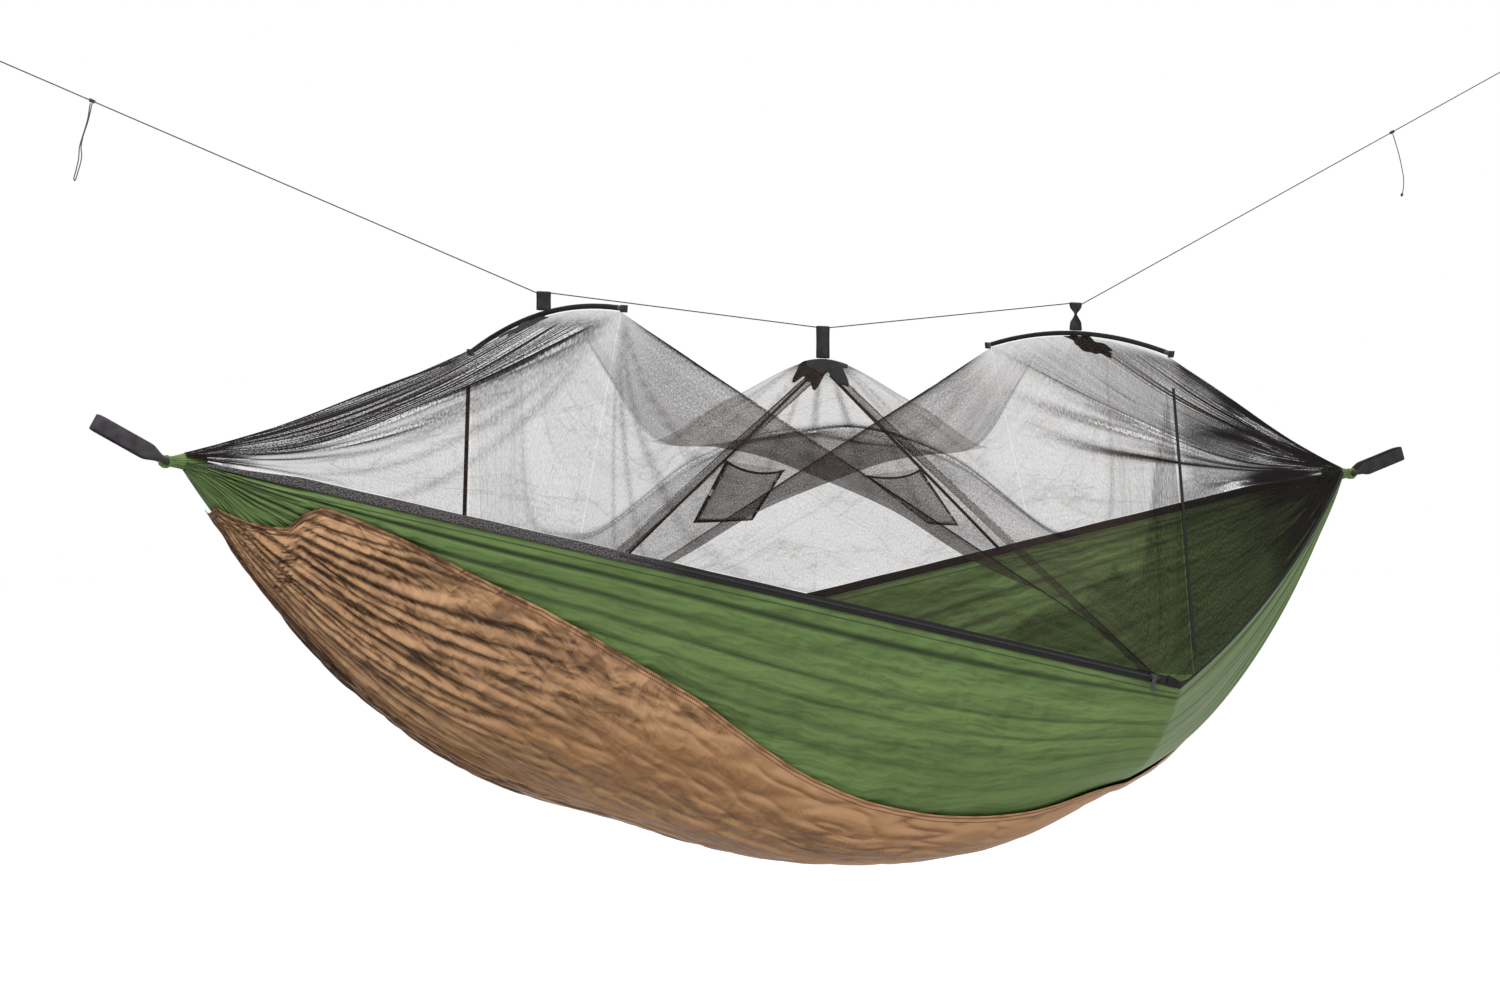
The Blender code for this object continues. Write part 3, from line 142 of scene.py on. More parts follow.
@dataclass(frozen=True)
class Layout:
    """Sizes and surfaces of the hammock that every sub-assembly shares."""

    half_span: float = 1.18
    sheet_inset: float = 0.030
    corner_along: float = 0.495
    corner_out: float = 0.379
    corner_drop: float = 0.382
    belly_drop: float = 0.672
    belly_shift: float = 0.110
    belly_power: float = 2.3
    keel_power: float = 2.1
    keel_pulls: tuple = ((-0.348, 0.243, 0.067), (0.391, 0.104, 0.045))
    edge_bulge: float = 0.030
    end_radius: float = 0.0145
    ring_start: float = 0.90
    band_width: float = 0.0150
    band_thick: float = 0.0016
    band_start: float = 0.180
    band_stop: float = 0.025
    seam_gap: float = 0.0008
    rod_station: float = 0.535
    rod_reach: float = 0.249
    rod_height: float = 0.227
    rod_tilt: float = 0.021
    rod_skew: float = 0.029
    rod_bow: float = 0.0285
    rod_radius: float = 0.0025
    sleeve_wall: float = 0.0014
    net_thick: float = 0.0014
    peak_height: float = 0.1914
    clear: float = 0.0003
    eye_length: float = 0.0150
    loop_corner: float = 0.0056
    bend_steps: int = 14
    bundle: float = 0.0043
    strap_thick: float = 0.0022
    left_reach: float = 0.1290
    left_lift: float = 28.5
    right_reach: float = 0.1330
    right_lift: float = 18.5
    net_end_degrees: float = 62.0

    @property
    def sheet_half(self) -> float:
        """Half the length of the sheet between its gathered necks."""
        return self.half_span - self.sheet_inset

    @property
    def sleeve_radius(self) -> float:
        """The outer radius of a rod's sleeve."""
        return self.rod_radius + 2 * self.clear + self.sleeve_wall

    @property
    def corner(self) -> Array:
        """The near corner of the sheet."""
        return vec(self.corner_along, -self.corner_out, -self.corner_drop)

    @property
    def peak(self) -> Array:
        """The middle peak of the net."""
        return vec(0, 0, self.peak_height)

    @property
    def shift(self) -> Array:
        """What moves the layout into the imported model's frame.

        Returns:
            The way from the middle of the hammock to the frame's origin, turned round.
        """
        facet = math.cos(math.pi / self.bend_steps)
        bend = (self.eye_length / 2 + self.loop_corner) * facet
        out = self.left_reach - self.eye_length / 2 - self.loop_corner + bend
        out -= self.strap_thick / 2 * facet
        lift = math.radians(self.left_lift)
        return vec(self.half_span + out * math.cos(lift), 0, -out * math.sin(lift))

    def near_hem(self, x: Array) -> Array:
        """The near edge of the sheet, straight to its corner and slack beyond.

        Args:
            x: Places along the hammock.

        Returns:
            Points, with one more axis than x.
        """
        x = np.asarray(x, float)[..., None]
        half = self.sheet_half
        left, right = vec(-half, -self.end_radius, 0), vec(half, -self.end_radius, 0)
        straight = left + (self.corner - left) * (x + half) / (self.corner_along + half)
        share = (x - self.corner_along) / (half - self.corner_along)
        slack = unit(self.corner - 2 * self.peak) * self.edge_bulge
        short = self.corner + (right - self.corner) * share + slack * 4 * share * (1 - share)
        return np.where(x <= self.corner_along, straight, short)

    def far_hem(self, x: Array) -> Array:
        """The far edge of the sheet."""
        return turned(self.near_hem(-np.asarray(x, float)))

    def keel(self, x: Array) -> Array:
        """The lowest line of the belly.

        Args:
            x: Places along the hammock.

        Returns:
            Points, with one more axis than x.
        """
        x = np.asarray(x, float)
        share = x / self.sheet_half
        fall = (self.belly_drop - self.end_radius) * (1 - np.abs(share) ** self.keel_power)
        for along, reach, height in self.keel_pulls:
            fall -= self.belly_drop * height * np.exp(-(((share - along) / reach) ** 2)) * (1 - share**2)
        aside = -self.belly_shift * np.sin(math.pi * x / self.sheet_half)
        return np.stack((x, aside, -self.end_radius - fall), -1)

    def sheet(self, a: Array, w: Array) -> Array:
        """The sheet without pleats.

        Args:
            a: Shares of its half length, -1 at the left gather.
            w: Shares of its half width, -1 at the near hem.

        Returns:
            Points on the sheet.
        """
        a, w = np.broadcast_arrays(np.asarray(a, float), np.asarray(w, float))
        x = a * self.sheet_half
        near, far, low = self.near_hem(x), self.far_hem(x), self.keel(x)
        ringed = step(self.ring_start, 1, np.abs(a))
        across = ((1 - ringed) * w + ringed * np.sin(math.pi * w / 2))[..., None]
        below = (1 - ringed) * (1 - np.abs(w) ** self.belly_power) + ringed * np.cos(math.pi * w / 2)
        middle = (near + far) / 2
        return middle + (far - near) / 2 * across + (low - middle) * below[..., None]

    def sheet_normal(self, a: Array, w: Array) -> Array:
        """The sheet's normal on its outer, lower side.

        Args:
            a: Shares of its half length.
            w: Shares of its half width.

        Returns:
            Directions of length one.
        """
        a, w = np.broadcast_arrays(np.asarray(a, float), np.asarray(w, float))
        a, w = np.clip(a, -0.99, 0.99), np.clip(w, -0.99, 0.99)
        e = 0.004
        along = self.sheet(a + e, w) - self.sheet(a - e, w)
        across = self.sheet(a, w + e) - self.sheet(a, w - e)
        return -unit(np.cross(along, across))

    def rod(self, side: int, s: Array) -> Array:
        """A rod's axis.

        Args:
            side: -1 for the left rod, 1 for the right one.
            s: Places on it, from -1 at its near end to 1.

        Returns:
            Points, with one more axis than s.
        """
        left_near = vec(-self.rod_station + self.rod_skew, -self.rod_reach, self.rod_height + self.rod_tilt)
        left_far = vec(-self.rod_station - self.rod_skew, self.rod_reach, self.rod_height - self.rod_tilt)
        near = left_near if side < 0 else turned(left_far)
        far = left_far if side < 0 else turned(left_near)
        s = np.asarray(s, float)[..., None]
        return near + (far - near) * (s + 1) / 2 + UP * self.rod_bow * (1 - s * s)


LAYOUT = Layout()


@dataclass(frozen=True)
class Hem:
    """The axes of the long near hem, which carries the band and the zip."""

    start: Array
    along: Array
    up: Array
    out: Array
    length: float

    @classmethod
    def measured(cls) -> "Hem":
        """The hem of the layout.

        Returns:
            The hem.
        """
        start = vec(-LAYOUT.sheet_half, -LAYOUT.end_radius, 0)
        along = unit(LAYOUT.corner - start)
        out = -unit(np.cross(along, UP))
        up = np.cross(out, along)
        up = up if up[2] > 0 else -up
        out = out if out[1] < 0 else -out
        return cls(start, along, up, out, float(np.linalg.norm(LAYOUT.corner - start)))

    def at(self, along: float, up: float, out: float) -> Array:
        """A place by its distance along the hem, above it and outside it."""
        return self.start + self.along * along + self.up * up + self.out * out

    def along_of(self, x: float) -> float:
        """The distance along the hem of the place at x."""
        return (x + LAYOUT.sheet_half) / self.along[0]


HEM = Hem.measured()
BAND_MIDDLE = LAYOUT.seam_gap + LAYOUT.band_width / 2


def link(name: str, data: bpy.types.ID) -> Piece:
    """A new object in the scene.

    Args:
        name: The object's name.
        data: Its mesh, lamp or camera.

    Returns:
        The object.
    """
    item = bpy.data.objects.new(name, data)
    bpy.context.scene.collection.objects.link(item)
    return item


def tidy_mesh(mesh: bpy.types.Mesh, within: float = 0.0) -> None:
    """Turns all faces the same way, outwards where the mesh is closed, and shades them smooth.

    Args:
        mesh: The mesh.
        within: The distance within which its points are joined first, or 0 for none.
    """
    work = bmesh.new()
    work.from_mesh(mesh)
    if within:
        bmesh.ops.remove_doubles(work, verts=work.verts, dist=within)
    bmesh.ops.recalc_face_normals(work, faces=work.faces)
    work.to_mesh(mesh)
    work.free()
    mesh.shade_smooth()


def run_of(path: Array) -> Array:
    """The distance from a path's start to each of its points."""
    return np.concatenate(((0,), np.cumsum(np.linalg.norm(np.diff(path, axis=0), axis=1))))


def circle(count: int) -> Array:
    """Even angles round a full turn."""
    return np.linspace(0, 2 * math.pi, count, endpoint=False)


def cloth_coordinates(points: Array) -> Array:
    """Distances in metres along the middle row and the middle column of a grid."""
    down, over = run_of(points[:, points.shape[1] // 2]), run_of(points[points.shape[0] // 2])
    return np.stack(np.meshgrid(down, over, indexing="ij"), -1)


def grid_piece(
    name: str,
    points: Array,
    material: Material,
    values: dict[str, Array] | None = None,
    flat: Array | None = None,
    round_trip: bool = False,
    caps: bool = False,
) -> Piece:
    """A skin over a grid of points, with its own cloth map and named values.

    Args:
        name: The piece's name.
        points: Points in the layout, rows by columns by 3.
        material: Its finish.
        values: Named values at the points, each rows by columns.
        flat: The cloth map's coordinates in metres, rows by columns by 2.
        round_trip: Whether the columns close on themselves.
        caps: Whether the first and last rows are closed by a face.

    Returns:
        The piece.
    """
    rows, columns = points.shape[:2]
    if flat is None:
        flat = cloth_coordinates(points)
    mesh = bpy.data.meshes.new(name)
    ids = np.arange(rows * columns).reshape(rows, columns)
    wrap = np.concatenate((ids, ids[:, :1]), 1) if round_trip else ids
    quads = np.stack((wrap[:-1, :-1], wrap[:-1, 1:], wrap[1:, 1:], wrap[1:, :-1]), -1).reshape(-1, 4)
    faces = [tuple(quad) for quad in quads.tolist()]
    if caps:
        faces += [tuple(ids[0].tolist()), tuple(ids[-1].tolist())]
    mesh.from_pydata((points + LAYOUT.shift).reshape(-1, 3).tolist(), [], faces)
    layer = mesh.uv_layers.new(name=CLOTH_MAP)
    corners = np.zeros(len(mesh.loops), int)
    mesh.loops.foreach_get("vertex_index", corners)
    layer.data.foreach_set("uv", flat.reshape(-1, 2)[corners].astype(np.float32).ravel())
    for key, value in (values or {}).items():
        slot = mesh.attributes.new(key, "FLOAT", "POINT")
        slot.data.foreach_set("value", np.asarray(value, np.float32).ravel())
    mesh.materials.append(material)
    tidy_mesh(mesh)
    return link(name, mesh)


def thicken(piece: Piece, thick: float) -> None:
    """Gives a sheet its thickness, half on either side."""
    skin = piece.modifiers.new("Thickness", "SOLIDIFY")
    skin.thickness, skin.offset = thick, 0.0


def tube(name: str, path: Array, radius: float | Array, material: Material, sides: int = 12) -> Piece:
    """A closed round tube along a path.

    Args:
        name: The piece's name.
        path: Points of its centreline, in the layout.
        radius: Its radius, one for all points or one each.
        material: Its finish.
        sides: How many sides it has.

    Returns:
        The piece.
    """
    along = unit(np.gradient(path, axis=0))
    side = UP if abs(along[0][2]) < 0.9 else vec(1, 0, 0)
    first = np.zeros_like(path)
    for i, heading in enumerate(along):
        side = unit(side - heading * (side @ heading))
        first[i] = side
    second = np.cross(along, first)
    reach = np.broadcast_to(np.asarray(radius, float), len(path))[:, None, None]
    turn = circle(sides)[None, :, None]
    ring = first[:, None] * np.cos(turn) + second[:, None] * np.sin(turn)
    flat = np.stack(np.meshgrid(run_of(path), circle(sides) / (2 * math.pi), indexing="ij"), -1)
    return grid_piece(name, path[:, None] + ring * reach, material, flat=flat, round_trip=True, caps=True)


def strap(
    name: str,
    path: Array,
    wide: Array,
    width: float | Array,
    thick: float,
    material: Material,
    round_trip: bool = False,
) -> Piece:
    """A flat woven strap along a path, with rounded edges.

    Args:
        name: The piece's name.
        path: Points of its middle line, in the layout.
        wide: The direction of its width at each point, or one for all.
        width: Its width, one for all points or one each.
        thick: Its thickness.
        material: Its finish.
        round_trip: Whether it closes on itself.

    Returns:
        The piece.
    """
    before, after = np.roll(path, 1, 0), np.roll(path, -1, 0)
    along = unit(after - before) if round_trip else unit(np.gradient(path, axis=0))
    wide = np.broadcast_to(wide, path.shape)
    wide = unit(wide - along * np.sum(wide * along, -1, keepdims=True))
    face = np.cross(along, wide)
    half = np.broadcast_to(np.asarray(width, float), len(path))[:, None] / 2
    shares = np.array((1, 0.6, 0.2, -0.2, -0.6, -1))
    over = np.concatenate((shares, shares[::-1]))
    rounded = np.abs(over) == 1
    offset = half * over - np.where(rounded, thick / 2 * 0.35 * over, 0)
    lift = np.repeat((thick / 2, -thick / 2), len(shares)) * np.where(rounded, 0.55, 1)
    points = path[:, None] + wide[:, None] * offset[..., None] + face[:, None] * lift[:, None]
    run = run_of(path)
    flat = np.stack((np.broadcast_to(run[:, None], points.shape[:2]), over * half), -1)
    if round_trip:
        points = np.concatenate((points, points[:1]), 0)
        flat = np.concatenate((flat, flat[-1:] + (run[1] - run[0], 0)), 0)
    piece = grid_piece(name, points, material, flat=flat, round_trip=True, caps=not round_trip)
    if round_trip:
        tidy_mesh(piece.data, thick / 20)
    return piece


class Graph:
    """The nodes of a material or a world, and short ways to add more."""

    def __init__(self, owner: Material | bpy.types.World) -> None:
        """Turns on the nodes of their owner."""
        owner.use_nodes = True
        self.owner, self.tree = owner, owner.node_tree

    @classmethod
    def named(cls, name: str) -> "Graph":
        """The nodes of a new material."""
        return cls(bpy.data.materials.new(name))

    def put(self, target: Socket, value: object) -> None:
        """Fills a socket.

        Args:
            target: The socket.
            value: An output to link, or a plain value, a colour as its three parts.
        """
        if isinstance(value, Socket):
            self.tree.links.new(value, target)
        else:
            target.default_value = (*value, 1.0) if target.type == "RGBA" else value

    def node(
        self, kind: str, settings: dict[str, object] | None = None, *values: object, **inputs: object
    ) -> bpy.types.Node:
        """A new node.

        Args:
            kind: Its type.
            settings: Its properties by name.
            values: Values of its sockets, in their order.
            inputs: Values of its sockets by name, underscores for spaces.

        Returns:
            The node.
        """
        made = self.tree.nodes.new(kind)
        for key, value in (settings or {}).items():
            setattr(made, key, value)
        for socket, value in zip(made.inputs, values):
            self.put(socket, value)
        for key, value in inputs.items():
            self.put(made.inputs[key.replace("_", " ")], value)
        return made

    def math(self, operation: str, *values: object) -> Socket:
        """One operation on one to three numbers."""
        return self.node("ShaderNodeMath", {"operation": operation}, *values).outputs[0]

    def times(self, a: object, b: object) -> Socket:
        """A product."""
        return self.math("MULTIPLY", a, b)

    def plus(self, a: object, b: object) -> Socket:
        """A sum."""
        return self.math("ADD", a, b)

    def minus(self, a: object, b: object) -> Socket:
        """A difference."""
        return self.math("SUBTRACT", a, b)

    def place(self) -> Socket:
        """Object coordinates."""
        return self.node("ShaderNodeTexCoord").outputs["Object"]

    def cloth(self) -> Socket:
        """The piece's own cloth map, in metres."""
        return self.node("ShaderNodeUVMap", {"uv_map": CLOTH_MAP}).outputs[0]

    def value(self, name: str) -> Socket:
        """A value stored on the piece's points."""
        return self.node("ShaderNodeAttribute", {"attribute_name": name}).outputs["Fac"]

    def noise(self, vector: Socket, scale: float, detail: float = 3.0, bend: float = 0.0) -> Socket:
        """A cloudy value from 0 to 1."""
        made = self.node("ShaderNodeTexNoise", Vector=vector, Scale=scale, Detail=detail, Distortion=bend)
        return made.outputs[0]

    def ribs(self, vector: Socket, axis: str, scale: float) -> Socket:
        """Parallel ribs from 0 to 1 across one axis."""
        made = self.node("ShaderNodeTexWave", {"bands_direction": axis}, Vector=vector, Scale=scale)
        return made.outputs["Fac"]

    def ramp(self, factor: Socket, low: float, high: float) -> Socket:
        """A straight ramp from 0 at low to 1 at high, clipped."""
        return self.node("ShaderNodeMapRange", {}, factor, low, high).outputs[0]

    def blend(self, factor: object, a: object, b: object) -> Socket:
        """A mix of two colours.

        Args:
            factor: The share of the second one.
            a: The first colour.
            b: The second colour.

        Returns:
            The mixed colour.
        """
        made = self.node("ShaderNodeMix", {"data_type": "RGBA"}, factor)
        self.put(made.inputs[6], a)
        self.put(made.inputs[7], b)
        return made.outputs[2]

    def bump(self, height: Socket, strength: object, distance: float, under: Socket | None = None) -> Socket:
        """A bump, on top of another one where given.

        Args:
            height: The height.
            strength: How much of it shows.
            distance: The metres that a height of 1 stands for.
            under: The normal under it.

        Returns:
            The normal.
        """
        below = {} if under is None else {"Normal": under}
        below |= {"Height": height, "Strength": strength, "Distance": distance}
        return self.node("ShaderNodeBump", **below).outputs[0]

    def finish(self, colour: object, roughness: object, normal: Socket, **extra: object) -> Material:
        """Sets the shader's sockets.

        Args:
            colour: The base colour.
            roughness: The roughness.
            normal: The bumped normal.
            extra: Further sockets by name, underscores for spaces.

        Returns:
            The finished material.
        """
        shader = self.tree.nodes["Principled BSDF"]
        inputs = {"Base_Color": colour, "Roughness": roughness, "Normal": normal, **extra}
        for key, value in inputs.items():
            self.put(shader.inputs[key.replace("_", " ")], value)
        return self.owner


@dataclass(frozen=True)
class Nylon:
    """Thin coated nylon cloth with a fine weave, creases and stitched edges.

    Its colour carries painted light and shade: a painted highlight where facets and folds face
    up, and a painted shade where they face down and along the creases. Each row of wrinkles is:
    facets a metre along, facets a metre across, how much painted highlight and how much painted
    shade they put on the cloth, and their height in metres.
    """

    name: str
    main: Colour
    pale: Colour
    # A painted highlight colour, then a painted shade colour.
    lit: Colour
    painted_shade: Colour
    stitch: Colour
    roughness: float
    # Shares of the painted highlight and of the painted shade where the real folds face up or down.
    painted_highlight: float
    dark: float
    wander: float
    wrinkles: tuple[tuple[float, float, float, float, float], ...]
    reach: float = 0.12
    weave: float = 420.0
    stitch_rows: tuple[float, float] = (0.0025, 0.0085)
    stitch_half: float = 0.0009
    stitch_pitch: float = 90.0

    def facets(self, g: Graph, place: Socket, along: float, across: float) -> tuple[Socket, Socket]:
        """Crumpled facets between sharp crests.

        Args:
            g: The material.
            place: The cloth map, wandering a little.
            along: Facets per metre along the cloth.
            across: Facets per metre across it.

        Returns:
            Their height, 0 in a hollow and about 0.6 on a crest, and how far they face up, -1 to 1, for
            painted light and shade.
        """
        found = []
        for shift in (0.0, self.reach):
            move, scale = (0.3 * shift, shift, 0.0), (along, across, 1.0)
            spot = g.node("ShaderNodeMapping", Vector=place, Location=move, Scale=scale).outputs[0]
            cells = g.node("ShaderNodeTexVoronoi", {"distance": "MANHATTAN"}, Vector=spot, Scale=1.0)
            found.append(cells.outputs["Distance"])
        # The height's change over a short shift gives how far a facet faces up, for painted light and shade.
        rise = g.math("DIVIDE", g.minus(found[1], found[0]), self.reach)
        return found[0], g.times(rise, g.times(g.value("down"), g.value("crush")))

    def paint_light_and_shade(self, g: Graph, colour: Socket, facing: Socket, painted_highlight: float, dark: float) -> Socket:
        """Paints a highlight where the cloth faces up, at 1, and a shade where it faces down, at -1."""
        colour = g.blend(g.times(g.ramp(facing, 0.15, 0.95), painted_highlight), colour, self.lit)
        return g.blend(g.times(g.ramp(facing, -0.25, -0.95), dark), colour, self.painted_shade)

    def build(self) -> Material:
        """The cloth's material, which reads "fold", "lean", "down", "crush" and "edge" of the piece.
        It paints shade in the creases, and light and shade by how far the cloth faces up.

        Returns:
            The material.
        """
        g = Graph.named(self.name)
        cloth = g.cloth()
        cloud = g.noise(g.place(), 4.0, 4.0)
        colour = g.blend(g.ramp(cloud, 0.25, 0.75), self.main, self.pale)
        weave = g.plus(g.ribs(cloth, "X", self.weave), g.ribs(cloth, "Y", self.weave))
        normal = g.bump(weave, 0.12, 0.0003)
        drift = g.node("ShaderNodeTexNoise", Vector=cloth, Scale=9.0, Detail=3.0).outputs["Color"]
        size = (self.wander, self.wander, 0.0)
        place = g.node("ShaderNodeVectorMath", {"operation": "MULTIPLY_ADD"}, drift, size, cloth).outputs[0]
        for along, across, painted_highlight, dark, height in self.wrinkles:
            rise, facing = self.facets(g, place, along, across)
            colour = self.paint_light_and_shade(g, colour, facing, painted_highlight, dark)
            normal = g.bump(rise, g.value("crush"), height, normal)
        # Painted highlight and painted shade by how far the real folds face up.
        colour = self.paint_light_and_shade(g, colour, g.value("lean"), self.painted_highlight, self.dark)
        # Painted shade in the creases, by the fold value.
        colour = g.blend(g.value("fold"), colour, self.painted_shade)
        edge = g.value("edge")
        first, second = (g.math("COMPARE", edge, row, self.stitch_half) for row in self.stitch_rows)
        gaps = g.ramp(g.ribs(cloth, "X", self.stitch_pitch), 0.15, 0.4)
        colour = g.blend(g.times(g.plus(first, second), gaps), colour, self.stitch)
        rough = g.plus(g.times(cloud, 0.10), self.roughness - 0.05)
        return g.finish(colour, rough, normal, Specular_IOR_Level=0.14)


@dataclass(frozen=True)
class Netting:
    """Fine bug net: dark threads with open holes, closer where the value "layers" is higher."""

    name: str = "bug_net"
    single: Colour = (0.060, 0.043, 0.036)
    # The thread colour turns to this near black where many layers bunch: painted shade inside the bunched
    # net.
    bunched: Colour = (0.008, 0.006, 0.006)
    cover: float = 0.195
    mesh: float = 160.0
    least: float = 0.15

    def streaks(self, g: Graph, scale: Sequence[float], bend: float) -> Socket:
        """Cloudy streaks that run the way the net is pulled, so many a station along and a rail across."""
        flow = g.node("ShaderNodeCombineXYZ", X=g.value("along"), Y=g.value("across")).outputs[0]
        return g.noise(g.node("ShaderNodeMapping", Vector=flow, Scale=scale).outputs[0], 1.0, 5.0, bend)

    def crests(self, g: Graph, field_value: Socket, middle: float, far: float, near: float) -> Socket:
        """Thin lines where a field passes its middle value, gone far from it and full near it."""
        return g.ramp(g.math("ABSOLUTE", g.minus(field_value, middle)), far, near)

    def build(self) -> Material:
        """The net's material, which reads "layers", "along" and "across" of the piece.

        Returns:
            The material.
        """
        g = Graph.named(self.name)
        cloth, layers = g.cloth(), g.value("layers")
        broad = self.streaks(g, (0.5, 3.2, 1.0), 0.4)
        narrow = self.streaks(g, (0.45, 11.0, 1.0), 0.3)
        across = self.streaks(g, (3.0, 1.1, 1.0), 0.7)
        pulled = g.ramp(layers, 4.5, 9.0)
        shade = g.plus(g.times(g.ramp(narrow, 0.45, 0.58), 2.3), 0.07)
        calm = g.plus(g.times(broad, 1.1), 0.42)
        shade = g.plus(g.times(shade, pulled), g.times(calm, g.minus(1.0, pulled)))
        lines = g.times(self.crests(g, narrow, 0.5, 0.010, 0.002), g.plus(g.times(pulled, 3.0), 0.35))
        folds = g.plus(self.crests(g, broad, 0.52, 0.012, 0.0), self.crests(g, across, 0.5, 0.005, 0.0))
        folds = g.times(folds, g.minus(0.8, g.times(pulled, 0.8)))
        grain = g.times(g.minus(g.noise(cloth, 330.0, 2.0), 0.5), 2.6)
        total = g.math("MAXIMUM", g.times(layers, g.plus(shade, grain)), self.least)
        total = g.plus(total, g.plus(lines, folds))
        alpha = g.minus(1.0, g.math("POWER", 1.0 - self.cover, total))
        threads = g.plus(g.ribs(cloth, "X", self.mesh), g.ribs(cloth, "Y", self.mesh))
        # Painted shade: the threads darken to near black as the layers pile up.
        thread = g.blend(g.ramp(total, 1.5, 5.0), self.single, self.bunched)
        return g.finish(thread, 0.9, g.bump(threads, 0.4, 0.0004), Alpha=alpha, Specular_IOR_Level=0.05)


class Ribbing(Enum):
    """How a woven tape is ribbed."""

    ACROSS = "X"
    ALONG = "Y"


@dataclass(frozen=True)
class WovenTape:
    """Narrow woven tape or webbing with ribs and firm edges."""

    name: str
    main: Colour
    pale: Colour
    ribbing: Ribbing
    pitch: float
    roughness: float = 0.8

    def build(self) -> Material:
        """The tape's material.

        Returns:
            The material.
        """
        g = Graph.named(self.name)
        cloth = g.cloth()
        scale = math.tau / self.pitch / 20
        ribs = g.ribs(cloth, self.ribbing.value, scale)
        other = g.ribs(cloth, "Y" if self.ribbing is Ribbing.ACROSS else "X", scale * 2.2)
        lit = g.times(ribs, g.ramp(g.noise(g.place(), 60.0, 4.0), 0.2, 0.8))
        colour = g.blend(lit, self.main, self.pale)
        normal = g.bump(other, 0.25, 0.0003, g.bump(ribs, 0.6, 0.0006))
        return g.finish(colour, self.roughness, normal, Specular_IOR_Level=0.15)


@dataclass(frozen=True)
class HemBand:
    """The band on the long hem: grey and open on the left, solid black further on."""

    name: str = "hem_band"
    dark: Colour = (0.016, 0.015, 0.015)
    grey: Colour = (0.13, 0.12, 0.12)
    change: float = 0.80
    fade: float = 0.12

    def build(self) -> Material:
        """The band's material.

        Returns:
            The material.
        """
        g = Graph.named(self.name)
        cloth = g.cloth()
        along = g.node("ShaderNodeSeparateXYZ", Vector=cloth).outputs["X"]
        dots = g.ramp(g.noise(cloth, 420.0, 2.0), 0.42, 0.62)
        grey = g.blend(dots, self.dark, self.grey)
        colour = g.blend(g.ramp(along, self.change, self.change - self.fade), self.dark, grey)
        normal = g.bump(g.ribs(cloth, "X", 260.0), 0.4, 0.0004)
        return g.finish(colour, 0.8, normal, Specular_IOR_Level=0.12)


@dataclass(frozen=True)
class Braid:
    """A fine braided cord."""

    name: str = "braided_cord"
    main: Colour = (0.020, 0.018, 0.018)
    pale: Colour = (0.075, 0.068, 0.065)
    pitch: float = 350.0
    strands: float = 4.0

    def build(self) -> Material:
        """The cord's material: two crossing sets of strands.

        Returns:
            The material.
        """
        g = Graph.named(self.name)
        apart = g.node("ShaderNodeSeparateXYZ", Vector=g.cloth()).outputs
        run, turn = g.times(apart["X"], self.pitch), g.times(apart["Y"], self.strands)
        left, right = (g.math("SINE", g.times(way(run, turn), math.tau)) for way in (g.plus, g.minus))
        strands = g.ramp(g.times(left, right), -0.6, 0.8)
        colour = g.blend(strands, self.main, self.pale)
        return g.finish(colour, 0.75, g.bump(strands, 0.5, 0.0003), Specular_IOR_Level=0.3)


@dataclass(frozen=True)
class Hard:
    """A hard finish: moulded plastic or painted metal, lightly worn."""

    name: str
    main: Colour
    worn: Colour
    roughness: float
    metallic: float = 0.0

    def build(self) -> Material:
        """The hard finish's material.

        Returns:
            The material.
        """
        g = Graph.named(self.name)
        place = g.place()
        marks = g.noise(place, 300.0, 5.0)
        colour = g.blend(g.ramp(marks, 0.55, 0.8), self.main, self.worn)
        rough = g.plus(g.times(g.noise(place, 80.0), 0.25), self.roughness - 0.1)
        return g.finish(colour, rough, g.bump(marks, 0.1, 0.0002), Metallic=self.metallic)


# In each cloth below, the third and fourth colours are a painted highlight and a painted shade; the two
# shares after the roughness, and the third and fourth numbers of each wrinkle row, say how much of them is
# painted.
GREEN = Nylon(
    "green_nylon",
    main=(0.094, 0.150, 0.045),
    pale=(0.108, 0.170, 0.053),
    lit=(0.170, 0.260, 0.090),
    painted_shade=(0.012, 0.020, 0.007),
    stitch=(0.022, 0.030, 0.015),
    roughness=0.46,
    painted_highlight=0.30,
    dark=0.60,
    wander=0.05,
    wrinkles=(
        (26.0, 66.0, 0.12, 0.20, 0.0012),
        (8.0, 26.0, 0.16, 0.24, 0.0030),
        (2.0, 8.0, 0.14, 0.16, 0.0060),
    ),
)
BROWN = Nylon(
    "brown_nylon",
    main=(0.228, 0.113, 0.046),
    pale=(0.262, 0.133, 0.054),
    lit=(0.480, 0.285, 0.155),
    painted_shade=(0.030, 0.014, 0.008),
    stitch=(0.040, 0.010, 0.006),
    roughness=0.40,
    painted_highlight=0.55,
    dark=0.80,
    wander=0.07,
    wrinkles=(
        (64.0, 110.0, 0.16, 0.26, 0.0010),
        (30.0, 44.0, 0.34, 0.46, 0.0035),
        (11.0, 15.0, 0.34, 0.42, 0.0080),
    ),
)
WEBBING = WovenTape("webbing", (0.020, 0.018, 0.021), (0.11, 0.10, 0.108), Ribbing.ACROSS, 0.0016)
DARK_WEBBING = WovenTape("dark_webbing", (0.012, 0.011, 0.012), (0.060, 0.054, 0.056), Ribbing.ALONG, 0.0024)
TRIM = WovenTape("black_tape", (0.008, 0.008, 0.008), (0.022, 0.021, 0.021), Ribbing.ALONG, 0.0012)
PLASTIC = Hard("black_plastic", (0.012, 0.012, 0.012), (0.04, 0.04, 0.04), 0.45)
TOOTH = Hard("zip_coil", (0.020, 0.020, 0.020), (0.05, 0.05, 0.05), 0.5)
